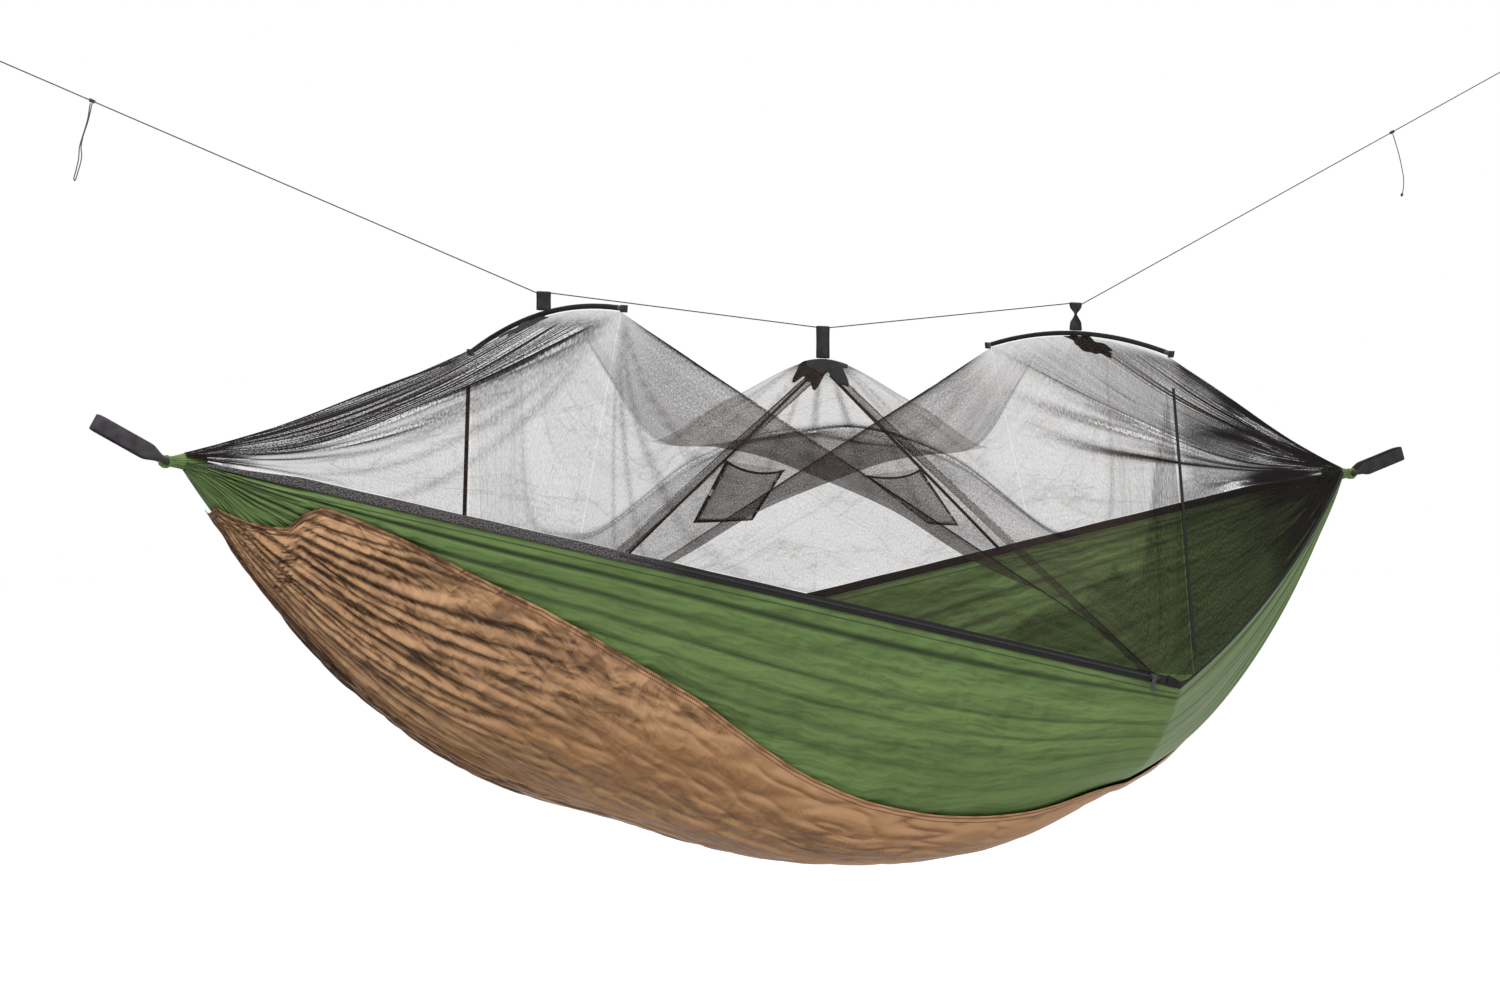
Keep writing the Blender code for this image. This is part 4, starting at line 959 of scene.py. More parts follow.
METAL = Hard("dark_metal", (0.030, 0.030, 0.030), (0.09, 0.09, 0.09), 0.45, 0.6)


@dataclass
class Finishes:
    """All finishes of the hammock, each built once."""

    green: Material = field(default_factory=GREEN.build)
    brown: Material = field(default_factory=BROWN.build)
    net: Material = field(default_factory=Netting().build)
    webbing: Material = field(default_factory=WEBBING.build)
    dark_webbing: Material = field(default_factory=DARK_WEBBING.build)
    trim: Material = field(default_factory=TRIM.build)
    band: Material = field(default_factory=HemBand().build)
    cord: Material = field(default_factory=Braid().build)
    plastic: Material = field(default_factory=PLASTIC.build)
    tooth: Material = field(default_factory=TOOTH.build)
    metal: Material = field(default_factory=METAL.build)


def settle(piece: Piece, slot: str, body: str, *nodes: str) -> Piece:
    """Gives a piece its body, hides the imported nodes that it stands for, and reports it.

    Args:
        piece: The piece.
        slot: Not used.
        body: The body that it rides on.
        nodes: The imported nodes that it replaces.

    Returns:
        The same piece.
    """
    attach(piece, body)
    if nodes:
        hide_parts(*nodes)
    LOG.info("%s: %d points, rides on %s", piece.name, len(piece.data.vertices), body)
    return piece


def repaint(node: str, material: Material) -> None:
    """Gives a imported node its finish.

    Args:
        node: The node's name.
        material: The finish.
    """
    item = bpy.data.objects[node]
    item.data.materials.clear()
    item.data.materials.append(material)
    item.data.shade_smooth()
    item.data.set_sharp_from_angle(angle=SHARP_ANGLE)
    LOG.info("%s: repainted", node)


@dataclass
class Bed:
    """The hanging sheet, its second layer, its gathered necks and its hem bands."""

    finishes: Finishes
    rows: int = 236
    columns: int = 200
    row_crowd: float = 0.8
    column_crowd: float = 0.85
    thick: float = 0.0010
    layer_seat: float = 0.0069
    layer_hang: float = 0.018
    layer_fold: float = 0.0050
    layer_end: float = 0.955
    drape_height: float = 0.0035
    fan_height: float = 0.0085
    crush_height: float = 0.0030
    pucker_height: float = 0.0011
    puckers: int = 46
    pleat_height: float = 0.0048
    end_fold: float = 0.0036
    long_fold: float = 0.0045
    ripple: float = 0.0012
    neck_reach: float = 0.066
    neck_radii: tuple = (0.0085, 0.0122, 0.0124, 0.0080)
    neck_gap: float = 0.0026
    eye_wall: float = 0.0054
    piping_start: float = 0.028
    lap: float = 0.0014

    seam: tuple[tuple[float, float], ...] = (
        (-0.955, -0.30), (-0.925, -0.52), (-0.895, -0.66), (-0.861, -0.76), (-0.843, -0.88), (-0.817, -0.95),
        (-0.704, -0.92), (-0.609, -0.88), (-0.504, -0.84), (-0.391, -0.78), (-0.261, -0.72),
        (-0.183, -0.66), (-0.104, -0.60), (0, -0.54), (0.113, -0.50), (0.235, -0.48),
    )
    near_end: tuple[tuple[float, float], ...] = ((0.36, -0.445), (0.45, -0.39), (0.60, -0.28), (0.93, -0.15))
    far_end: tuple[tuple[float, float], ...] = ((0.36, -0.46), (0.522, -0.445), (0.93, -0.44))

    def seam_at(self, a: Array) -> Array:
        """Where the near seam of the second layer crosses the sheet at share a."""
        table = np.array(self.seam + self.near_end)
        return np.interp(a, table[:, 0], table[:, 1])

    def far_seam_at(self, a: Array) -> Array:
        """Where the far seam of the second layer crosses the sheet at share a."""
        table = np.array(self.seam + self.far_end)
        return -np.interp(-a, table[:, 0], table[:, 1])

    def creased(self, a: Array, w: Array) -> tuple[Array, Array]:
        """The sheet's height over its smooth shape, and how far into a fold each place is.

        Args:
            a: Shares of the half length.
            w: Shares of the half width.

        Returns:
            Heights in metres, and fold shares from 0 to 1, which set the painted shade in the creases.
        """
        bare = step(0, 0.2, self.seam_at(a) - w) + step(0, 0.2, w - self.far_seam_at(a))
        shown = np.minimum(bare + step(0.93, 1, np.abs(a)), 1)
        reach = np.minimum((1 - np.abs(a)) / 0.55, 1)
        swing = np.where(a < 0, -1.0, 1.0)
        wave = np.sin(math.pi * 6 * w + swing * w)
        pleats = self.pleat_height * np.sin(math.pi * reach) * wave * (1 - w**6)
        close = step(0.40, 0.85, np.abs(a)) * step(1.0, 0.95, np.abs(a))
        phase = 17 * w + 0.6 * Waves(3, 12, 1.0, 4.0, 4.0).at(a, w)
        sharp = np.exp(-((np.sin(math.pi * phase) / 0.42) ** 2))
        broken = step(-0.75, -0.1, Waves(8, 16, 1.0, 3.0, 3.0).at(0.7 * a, 4 * w))
        near_edge = np.exp(-(1 - np.abs(w)) * 4.0) * (0.65 + 0.35 * step(0.5, -0.5, a))
        long_fold = near_edge * broken * step(0, 0.02, 1 - np.abs(w)) * step(0.995, 0.93, np.abs(a))
        phase = 17 * (1 - np.abs(w)) ** 0.9 + 0.30 * Waves(9, 14, 0.8, 3.0, 4.0).at(a, w)
        line = np.exp(-((np.sin(math.pi * phase) / 0.36) ** 2))
        soft = self.ripple * Waves(5, 26, 2.0, 12.0, 3.2).at(a * 1.6, w) * (1 - w**8)
        height = shown * (pleats - self.end_fold * close * sharp) - self.long_fold * long_fold * line
        height = height + soft * step(1, 0.9, np.abs(a))
        # Painted shade: the fold value darkens the cloth's colour in the sharp creases and the long folds
        # near the hem.
        fold = shown * close * sharp**1.5 * 0.95 + 1.5 * long_fold * line**1.2
        return height, np.clip(fold, 0, 0.9)

    def add_sheet(self) -> None:
        """The green sheet."""
        t = np.linspace(-1, 1, self.rows)
        a = np.sin(math.pi / 2 * t * self.row_crowd) / math.sin(math.pi / 2 * self.row_crowd)
        a, w = np.meshgrid(a, 2 * self.crowded(self.columns) - 1, indexing="ij")
        height, fold = self.creased(a, w)
        base = LAYOUT.sheet(a, w)
        points = base + LAYOUT.sheet_normal(a, w) * height[..., None]
        half = np.linalg.norm(LAYOUT.sheet(a, w) - LAYOUT.sheet(a, np.sign(w)), axis=-1)
        crumple = 0.2 * Waves(6, 12, 1.0, 3.0, 1.5).at(a, w)
        crush = np.clip(0.55 + 0.45 * step(-0.6, -0.9, a) + crumple, 0.2, 1)
        # The fold value paints shade into the creases, and light_of's values paint light and shade on the
        # folds.
        values = {"fold": fold, "edge": half * 0.6 + 0.001, **self.light_of(base, height, w, crush)}
        piece = grid_piece("sheet", points, self.finishes.green, values)
        thicken(piece, self.thick)
        settle(piece, "sheet", ROOT, "hammock_body")

    @staticmethod
    def light_of(base: Array, height: Array, w: Array, crush: Array) -> dict[str, Array]:
        """The values from which light and shade are painted on the cloth, by how far its folds face up.

        Args:
            base: The smooth surface, rows by columns by 3.
            height: The folds' heights over it.
            w: Shares of the half width, negative on the near side.
            crush: How crumpled the cloth is, 0 to 1.

        Returns:
            The values "lean", "down" and "crush" by name.
        """
        down = 1 - 2 * step(-0.12, 0.12, w)
        pitch = np.maximum(np.linalg.norm(np.gradient(base, axis=1), axis=-1), 2e-4)
        slope = np.gradient(height, axis=1) / pitch
        return {"lean": np.clip(slope * 2.2, -1, 1) * down, "down": down, "crush": crush}

    def layer_points(self, along: Array, across: Array) -> tuple[Array, dict[str, Array]]:
        """The second layer's surface.

        Args:
            along: From 0 at its left end to 1.
            across: From 0 at its near seam to 1 at its far one.

        Returns:
            Points, and the values that the cloth's finish reads.
        """
        a = self.layer_end * (2 * along - 1)
        near, far = self.seam_at(a), self.far_seam_at(a)
        w = near + (far - near) * across
        edge = (1 - np.abs(2 * across - 1) ** 4) * (1 - np.abs(2 * along - 1) ** 8)
        middle = (1 - (2 * along - 1) ** 2) ** 1.5
        hang = self.layer_hang * edge * middle * step(1, 0.4, np.abs(w))
        inner = step(0, 0.05, edge)
        lean = w - 0.35 * a + 0.10 * np.sin(3 * a)
        fan, fan_line = Waves(11, 60, 8.0, 22.0, 16.0).valleys(a * 2.2, w + 0.02 * np.sin(9 * a))
        drape, drape_line = Waves(13, 60, 2.2, 10.0, 5.0).valleys(a * 2.2, lean)
        crush, crush_line = Waves(23, 60, 5.0, 18.0, 2.4).valleys(a * 2.2, lean)
        left = step(-0.25, -0.72, a)
        streaks = fan * left + drape * (1 - left)
        size = (self.drape_height + self.fan_height * left) * inner * step(0, 0.5, edge)
        height = self.layer_seat + self.layer_fold * edge + hang + size * (streaks - 0.35)
        height = height + self.crush_height * inner * step(0, 0.4, edge) * (crush - 0.4)
        wave = np.sin(2 * math.pi * self.puckers * along + 3 * np.sin(9 * along))
        pucker = bump_at(edge, 0.12, 0.16) * wave
        height = height + self.pucker_height * pucker
        # Painted shade along the valleys of the folds, stored as the fold value.
        painted_shade = fan_line * left * 0.95 + drape_line * (1 - left) * 0.18 + 0.08 * crush_line
        base, height = LAYOUT.sheet(a, w), np.maximum(height, self.layer_seat)
        points = base + LAYOUT.sheet_normal(a, w) * height[..., None]
        gap = np.linalg.norm(points - LAYOUT.sheet(a, near), axis=-1)
        gap = np.minimum(gap, np.linalg.norm(points - LAYOUT.sheet(a, far), axis=-1))
        gap = np.minimum(gap - self.layer_seat, (1 - np.abs(2 * along - 1)) * 1.2)
        folded = np.maximum(step(-0.35, -0.62, w), step(-0.55, -0.75, a))
        crumpled = 0.35 + 0.65 * step(0.0, -0.55, a) * folded
        crumpled = np.clip(crumpled + 0.25 * Waves(7, 12, 1.0, 4.0, 1.5).at(a, w), 0.15, 1)
        values = self.light_of(base, height, w, crumpled)
        return points, {"fold": np.clip(painted_shade * inner, 0, 0.85), "edge": gap, **values}

    def add_second_layer(self) -> None:
        """The brown second layer."""
        along, across = np.meshgrid(np.linspace(0, 1, 300), self.crowded(160), indexing="ij")
        points, values = self.layer_points(along, across)
        piece = grid_piece("second_layer", points, self.finishes.brown, values)
        thicken(piece, self.thick * 0.8)
        settle(piece, "layer", ROOT, "under_layer")

    def crowded(self, count: int) -> Array:
        """Shares from 0 to 1 that lie closer together near both ends."""
        crowd = math.pi / 2 * self.column_crowd
        return (np.sin(math.pi / 2 * np.linspace(-1, 1, count) * self.column_crowd) / math.sin(crowd) + 1) / 2

    @property
    def eye_bore(self) -> float:
        """The radius of the hole through a rolled eye."""
        return LAYOUT.bundle + 2 * LAYOUT.clear

    def add_neck(self, side: int, word: str) -> None:
        """The tightly pleated neck at a gather.

        Args:
            side: -1 for the left one, 1 for the right one.
            word: The side's name.
        """
        inner = LAYOUT.half_span - self.neck_reach
        outer = LAYOUT.half_span - self.eye_bore - self.neck_gap
        t = np.linspace(0, 1, 46)
        x = inner + (outer - inner) * t
        radius = np.interp(x, (inner, inner + 0.006, LAYOUT.sheet_half, outer), self.neck_radii)
        turn = circle(144)
        pleat = 0.00085 * np.sin(24 * turn + 1.5 * np.sin(3 * turn)) + 0.0005 * np.sin(41 * turn)
        reach = radius[:, None] + pleat[None] * (0.6 + 0.4 * np.sin(9 * t[:, None] + turn[None] * 2))
        points = np.broadcast_arrays(side * x[:, None], reach * np.cos(turn), reach * np.sin(turn))
        # Painted shade in the hollows of the pleats, stored as the fold value and scaling the facets' painted
        # light and shade.
        dark = np.broadcast_to(np.clip(-pleat / 0.0013, 0, 0.8), reach.shape)
        values = {"fold": dark, "edge": np.full(reach.shape, 1.0), "down": dark, "crush": dark}
        green = self.finishes.green
        neck = grid_piece(f"{word}_neck", np.stack(points, -1), green, values, round_trip=True, caps=True)
        settle(neck, "sheet", ROOT)

    def add_eye(self, side: int, word: str) -> None:
        """The rolled eye at a gather.

        Args:
            side: -1 for the left one, 1 for the right one.
            word: The side's name.
        """
        across, turn = np.linspace(-1, 1, 21)[:, None], circle(40)
        mouth = 0.0012 * np.abs(across) ** 6
        outside = (self.eye_bore + self.eye_wall - mouth) + 0.0004 * np.sin(7 * turn + 2 * across)
        walls = []
        for reach in (outside, np.full_like(outside, self.eye_bore)):
            x = side * LAYOUT.half_span + reach * np.cos(turn)
            y = across * LAYOUT.eye_length / 2
            walls.append(np.stack(np.broadcast_arrays(x, y, reach * np.sin(turn)), -1))
        points = np.concatenate((walls[0], walls[1][::-1], walls[0][:1]), 0)
        # A fold value of 0.15 darkens the whole eye a little toward the cloth's painted shade colour.
        values = {"fold": np.full(points.shape[:2], 0.15), "edge": np.full(points.shape[:2], 1.0)}
        eye = grid_piece(f"{word}_eye", points, self.finishes.green, values, round_trip=True)
        tidy_mesh(eye.data, 1e-5)
        settle(eye, "sheet", ROOT, f"{word}_gather")

    def add_bands(self) -> None:
        """The folded bands on the long near hem and the long far one."""
        run = np.linspace(self.piping_start, HEM.length - LAYOUT.band_stop, 240)
        top = LAYOUT.seam_gap + LAYOUT.band_width
        knots = (self.piping_start, LAYOUT.band_start / 2, LAYOUT.band_start)
        high = np.interp(run, knots, (0.22 * top, 0.50 * top, top)) + 0.0003 * np.sin(run * 41)
        path = np.stack([HEM.at(s, (up - self.lap) / 2, 0.0) for s, up in zip(run, high)])
        width = high + self.lap
        near = strap("near_band", path, HEM.up, width, LAYOUT.band_thick, self.finishes.band)
        settle(near, "trim", ROOT, "near_hem_band")
        far = strap("far_band", turned(path), turned(HEM.up), width, LAYOUT.band_thick, self.finishes.trim)
        settle(far, "trim", ROOT, "far_hem_band")

    def build(self) -> None:
        """Builds the whole bed."""
        self.add_sheet()
        self.add_second_layer()
        for side, word in SIDES:
            self.add_neck(side, word)
            self.add_eye(side, word)
        self.add_bands()


@dataclass
class BugNet:
    """The three panels of the net, over the rods, the middle peak and the taut folds."""

    finishes: Finishes
    left_rod_at: int = 3
    right_rod_at: int = 11
    last: int = 14
    rails: int = 8
    binding_lap: float = 0.0014

    pulls: tuple = (
        (0.60, 0.045, 11.0), (0.70, 0.045, 11.7), (0.80, 0.050, 10.9), (0.90, 0.045, 11.3),
        (1.02, 0.060, 10.8), (1.20, 0.060, 11.4), (1.45, 0.070, 11.0), (2.00, 0.080, 11.7),
        (2.70, 0.100, 11.3), (3.50, 0.120, 11.7),
    )
    left_pulls: tuple = ((0.10, 0.06, 1.5), (0.32, 0.06, 1.1), (0.58, 0.06, 1.8), (0.84, 0.08, 2.5))

    left_rows: tuple = (
        (-0.852, (0.272, 0.100), (0.214, 0.120), (0.117, 0.167), 0.242),
        (-0.661, (0.623, 0.489), (0.467, 0.493), (0.233, 0.533), 0.595),
    )
    middle_rows: tuple = (
        (-0.396, None, (0.739, 0.705), (0.350, 0.661), 0.529),
        (-0.322, None, (0.739, 0.352), (0.350, 0.198), 0.198),
        (-0.157, None, (0.837, 0.000), (0.428, 0.220), 0.529),
        (0.0, None, (0.973, -0.330), (0.467, 0.330), 1.0),
        (0.157, None, (1.051, -0.771), (0.537, 0.100), 0.529),
        (0.322, None, (1.270, -1.090), (0.810, -0.500), 0.198),
        (0.396, None, (1.342, -1.405), (0.778, -0.441), 0.529),
    )
    right_rows: tuple = (
        (0.661, (0.670, 0.600), (0.506, 0.600), (0.233, 0.590), 0.595),
        (0.852, (0.300, 0.262), (0.233, 0.260), (0.117, 0.250), 0.242),
    )

    def foot(self, x: float) -> Array:
        """The lower edge of the net, just above the hem.

        Args:
            x: A place along the hammock.

        Returns:
            A point.
        """
        half, radius = LAYOUT.sheet_half, LAYOUT.end_radius
        reach = (HEM.length - LAYOUT.band_stop) * HEM.along[0] - half
        end = radius * math.cos(math.radians(LAYOUT.net_end_degrees))
        lift = (2 * LAYOUT.seam_gap + LAYOUT.band_width) / HEM.up[2]
        knots = (-half, LAYOUT.band_start / 2 - half, reach, LAYOUT.corner_along + LAYOUT.band_stop, half)
        rise = np.interp(x, knots, (end, lift, lift, 3 * LAYOUT.seam_gap, end))
        narrow = radius * (1 - math.sin(math.radians(LAYOUT.net_end_degrees)))
        inward = np.interp(abs(x) / half, (0.9, 1), (0, narrow))
        return LAYOUT.near_hem(np.array(x)) + UP * rise + vec(0, inward, 0)

    def rod_seat(self, side: int, s: float) -> Array:
        """The net's line just under a rod's sleeve."""
        under = LAYOUT.sleeve_radius + LAYOUT.clear + LAYOUT.net_thick / 2
        return LAYOUT.rod(side, np.array(s)) - UP * under

    def half_sections(self) -> list[list[Array]]:
        """The near half of every station, from the foot to the crest.

        Returns:
            Five places for each station.
        """
        angles = [math.radians(LAYOUT.net_end_degrees * s) for s in (1, 0.75, 0.5, 0.25, 0)]
        top, base = self.rod_seat(-1, -1), self.foot(LAYOUT.corner_along)
        radius, half = LAYOUT.end_radius, LAYOUT.sheet_half
        reach, height = LAYOUT.rod_reach, LAYOUT.rod_height

        def ring(side: int) -> list[Array]:
            """The rails on the ring round a neck."""
            return [vec(side * half, -radius * math.sin(t), radius * math.cos(t)) for t in angles]

        def on_rod(side: int) -> list[Array]:
            """The rails under a rod."""
            seats = [self.rod_seat(side, s) for s in (-1, -0.667, -0.333, 0)]
            return [self.foot(side * LAYOUT.rod_station), *seats]

        def open_row(row: tuple) -> list[Array]:
            """The rails at a row of shares.

            Args:
                row: The station's place along, then its shoulder, fold, inner rail and crest.

            Returns:
                Five places.
            """
            along, shoulder, fold, inner, crest = row
            x = along * half
            if shoulder is None:
                edge = top + (base - top) * (x - top[0]) / (base[0] - top[0])
            else:
                edge = vec(x, -shoulder[0] * reach, shoulder[1] * height)
            rise = LAYOUT.peak_height if crest == 1 else crest * height
            rest = [vec(x, -out * reach, up * height) for out, up in (fold, inner)]
            return [self.foot(x), edge, *rest, vec(x, 0, rise)]

        rows = [ring(-1), *map(open_row, self.left_rows), on_rod(-1)]
        rows += [*map(open_row, self.middle_rows), on_rod(1), *map(open_row, self.right_rows), ring(1)]
        return rows

    def sections(self) -> Array:
        """Every station from its near foot to its far one.

        Returns:
            Stations by rails by 3.
        """
        near = self.half_sections()
        far = [[turned(place) for place in row] for row in reversed(near)]
        return np.array([row + other[-2::-1] for row, other in zip(near, far)])

    @staticmethod
    def through(places: Array, t: float) -> Array:
        """A smooth curve through places, at a parameter counted in places.

        Args:
            places: Places by any further axes by 3.
            t: The parameter.

        Returns:
            The points at t.
        """
        last = len(places) - 1
        i = min(int(t), last - 1)
        f = t - i
        start, end = places[i], places[i + 1]
        before = places[i - 1] if i > 0 else 2 * start - end
        after = places[i + 2] if i + 2 <= last else 2 * end - start

        def size(vector: Array) -> Array:
            """Lengths, never zero."""
            found = np.linalg.norm(vector, axis=-1, keepdims=True)
            return np.where(found == 0, 1.0, found)

        def tangent(low: Array, here: Array, high: Array) -> Array:
            """The curve's direction at a place between two others, weighted by the nearer one.

            Args:
                low: The place before.
                here: The place.
                high: The place after.

            Returns:
                The direction.
            """
            back, ahead = size(here - low), size(high - here)
            near, far = (here - low) / back, (high - here) / ahead
            return near * ahead / (back + ahead) + far * back / (back + ahead)

        length = np.linalg.norm(end - start, axis=-1, keepdims=True)
        before_gap = 2 * np.linalg.norm(start - before, axis=-1, keepdims=True)
        after_gap = 2 * np.linalg.norm(after - end, axis=-1, keepdims=True)
        leave = tangent(before, start, end) * np.minimum(length, before_gap)
        arrive = tangent(start, end, after) * np.minimum(length, after_gap)
        rest = f * f * (3 - 2 * f)
        return (1 - rest) * start + rest * end + f * (1 - f) ** 2 * leave - f * f * (1 - f) * arrive

    def over(self, section: Array, v: float) -> Array:
        """A place over one section: flat up to the taut fold, smooth beyond.

        Args:
            section: The section's places.
            v: The share of the way across, from its near foot.

        Returns:
            A point.
        """
        rail = v * self.rails
        if rail <= 1:
            return section[0] + (section[1] - section[0]) * rail
        if rail >= self.rails - 1:
            return section[-1] + (section[-2] - section[-1]) * (self.rails - rail)
        return self.through(section[1:-1], rail - 1)

    def surface(self, first: int, last: int, us: Array, vs: Array) -> Array:
        """The net between two stations.

        Args:
            first: The first station.
            last: The last station.
            us: Shares of the way along.
            vs: Shares of the way across.

        Returns:
            A grid of points.
        """
        sections = self.sections()[first : last + 1]
        rows = np.array([[self.over(section, v) for v in vs] for section in sections])
        return np.array([self.through(rows, u * (last - first)) for u in us])

    def layers(self, station: Array, rail: Array) -> Array:
        """How many thicknesses of net lie on each other, as the cloth bunches and folds.

        Args:
            station: Places along, counted in stations.
            rail: Places across, counted in rails from the near foot.

        Returns:
            The number of layers, 1 where the net is flat.
        """
        mirror = rail > 4
        s = np.where(mirror, self.last - station, station)
        r = np.where(mirror, self.rails - rail, rail)
        total = np.ones(np.broadcast(s, r).shape)
        middle = step(3.0, 4.6, s) * step(11.2, 10.4, s)
        middle = middle * (1 - 0.75 * step(8.6, 9.6, s))
        total += 2.4 * step(0.93, 1.03, r) * step(3.1, 2.8, r) * middle
        total += middle * (7.0 * bump_at(r, 1.02, 0.045) + 6.5 * bump_at(r, 2.95, 0.055))
        beside, over = station - 7, (rail - 4) * 0.8
        ring = np.hypot(beside, over)
        rays = np.clip(np.cos(15 * np.arctan2(over, beside)), 0, 1) ** 6
        total += rays * 2.2 * step(2.2, 0.3, ring) + 5.0 * step(0.45, 0.1, ring)
        roof = step(0.9, 1.05, r)
        left, right = step(3.0, 2.5, station), step(11.0, 11.3, station)
        total += left * roof * (17.0 + 18.0 * step(2.9, 0.4, station) ** 1.5)
        total += right * roof * (5.0 + 15.0 * step(11.2, 13.6, station) ** 1.3) * (1 - 0.65 * mirror)
        wall = right * step(1.2, 0.9, rail)
        total += wall * (2.6 + 7.0 * step(11.8, 13.6, station))
        total += 20.0 * step(0.7, 0.1, station) + 16.0 * step(12.6, 13.9, station) ** 1.5
        total += 5.0 * step(1.3, 0.2, station) * step(0.55, 0.95, rail) * (1 - mirror)
        for drop, width in ((0.28, 0.04), (0.52, 0.05), (0.90, 0.06), (1.5, 0.06)):
            sag = 1 - drop * (station - 3) * (1 - 0.10 * (station - 3))
            total += 2.2 * bump_at(rail - sag, 0, width) * step(3.0, 3.3, station) * step(6.0, 4.6, station)
            sag = 1 - 0.5 * drop * (3 - station)
            total += 1.6 * bump_at(rail - sag, 0, width) * step(0.6, 1.4, station) * step(3.0, 2.6, station)
        for spot, width, start in self.pulls:
            line = r - spot - 0.03 * np.sin(2.6 * station + 9 * spot)
            total += 11.0 * bump_at(line, 0, width) * step(start, start + 1.4, station)
        for spot, width, start in self.left_pulls:
            line = rail - spot - 0.04 * np.sin(3.1 * station + 7 * spot)
            total += 8.0 * bump_at(line, 0, width) * step(start, start - 1.1, station)
        slack = np.interp(station, (8, 9, 10, 10.5, 11, 14), (0, 2.4, 2.75, 2.2, 0.62, 0.55))
        return np.maximum(total, 4.3 * step(-0.04, 0.06, slack - rail))

    def add_panel(
        self, name: str, first: int, last: int, size: tuple[int, int]
    ) -> None:
        """One panel of the net.

        Args:
            name: Its name, which is also its node's name.
            first: Its first station.
            last: Its last station.
            size: Rows and columns of its grid.
        """
        trim = LAYOUT.net_thick / LAYOUT.half_span
        u = np.linspace(0, 1, size[0])
        us = trim + u * (1 - 2 * trim)
        vs = np.linspace(0, 1, size[1])
        points = self.surface(first, last, us, vs)
        along = np.gradient(points, axis=0)
        across = np.gradient(points, axis=1)
        normal = unit(np.cross(along, across))
        station, rail = np.meshgrid(first + us * (last - first), vs * self.rails, indexing="ij")
        calm = np.sin(math.pi * vs[None]) ** 0.5 * np.minimum(1, 8 * u * (1 - u))[:, None]
        height = 0.0016 * Waves(41, 26, 1.0, 6.0, 3.0).at(station * 0.5, rail * 0.5) * calm
        points = points + normal * height[..., None]
        layers = self.layers(station, rail)
        values = {"layers": layers, "along": station, "across": rail}
        piece = grid_piece(name + "_cloth", points, self.finishes.net, values)
        settle(piece, "netting", ROOT, name)

    def add_bindings(self) -> None:
        """A narrow dark binding on each short hem, from the sheet's edge up to the net's foot."""
        lap = self.binding_lap
        bend, start = LAYOUT.corner_along, LAYOUT.corner_along - LAYOUT.band_stop
        long_side = np.linspace(start, bend, 8)[:-1]
        places = np.concatenate((long_side, np.linspace(bend, LAYOUT.sheet_half - lap, 120)))
        low = LAYOUT.near_hem(places) - UP * lap
        top = np.stack([self.foot(x) for x in places]) + UP * lap
        path, rise = (low + top) / 2, top - low
        for name, turn in (("near_binding", False), ("far_binding", True)):
            line, up = (turned(path), turned(rise)) if turn else (path, rise)
            width = np.linalg.norm(rise, axis=-1)
            settle(strap(name, line, up, width, LAYOUT.band_thick, self.finishes.trim), "trim", ROOT)

    def build(self) -> None:
        """Builds the three panels and their bindings."""
        self.add_bindings()
        self.add_panel("net_left", 0, self.left_rod_at, (90, 260))
        self.add_panel("net_middle", self.left_rod_at, self.right_rod_at, (190, 190))
        self.add_panel("net_right", self.right_rod_at, self.last, (90, 260))


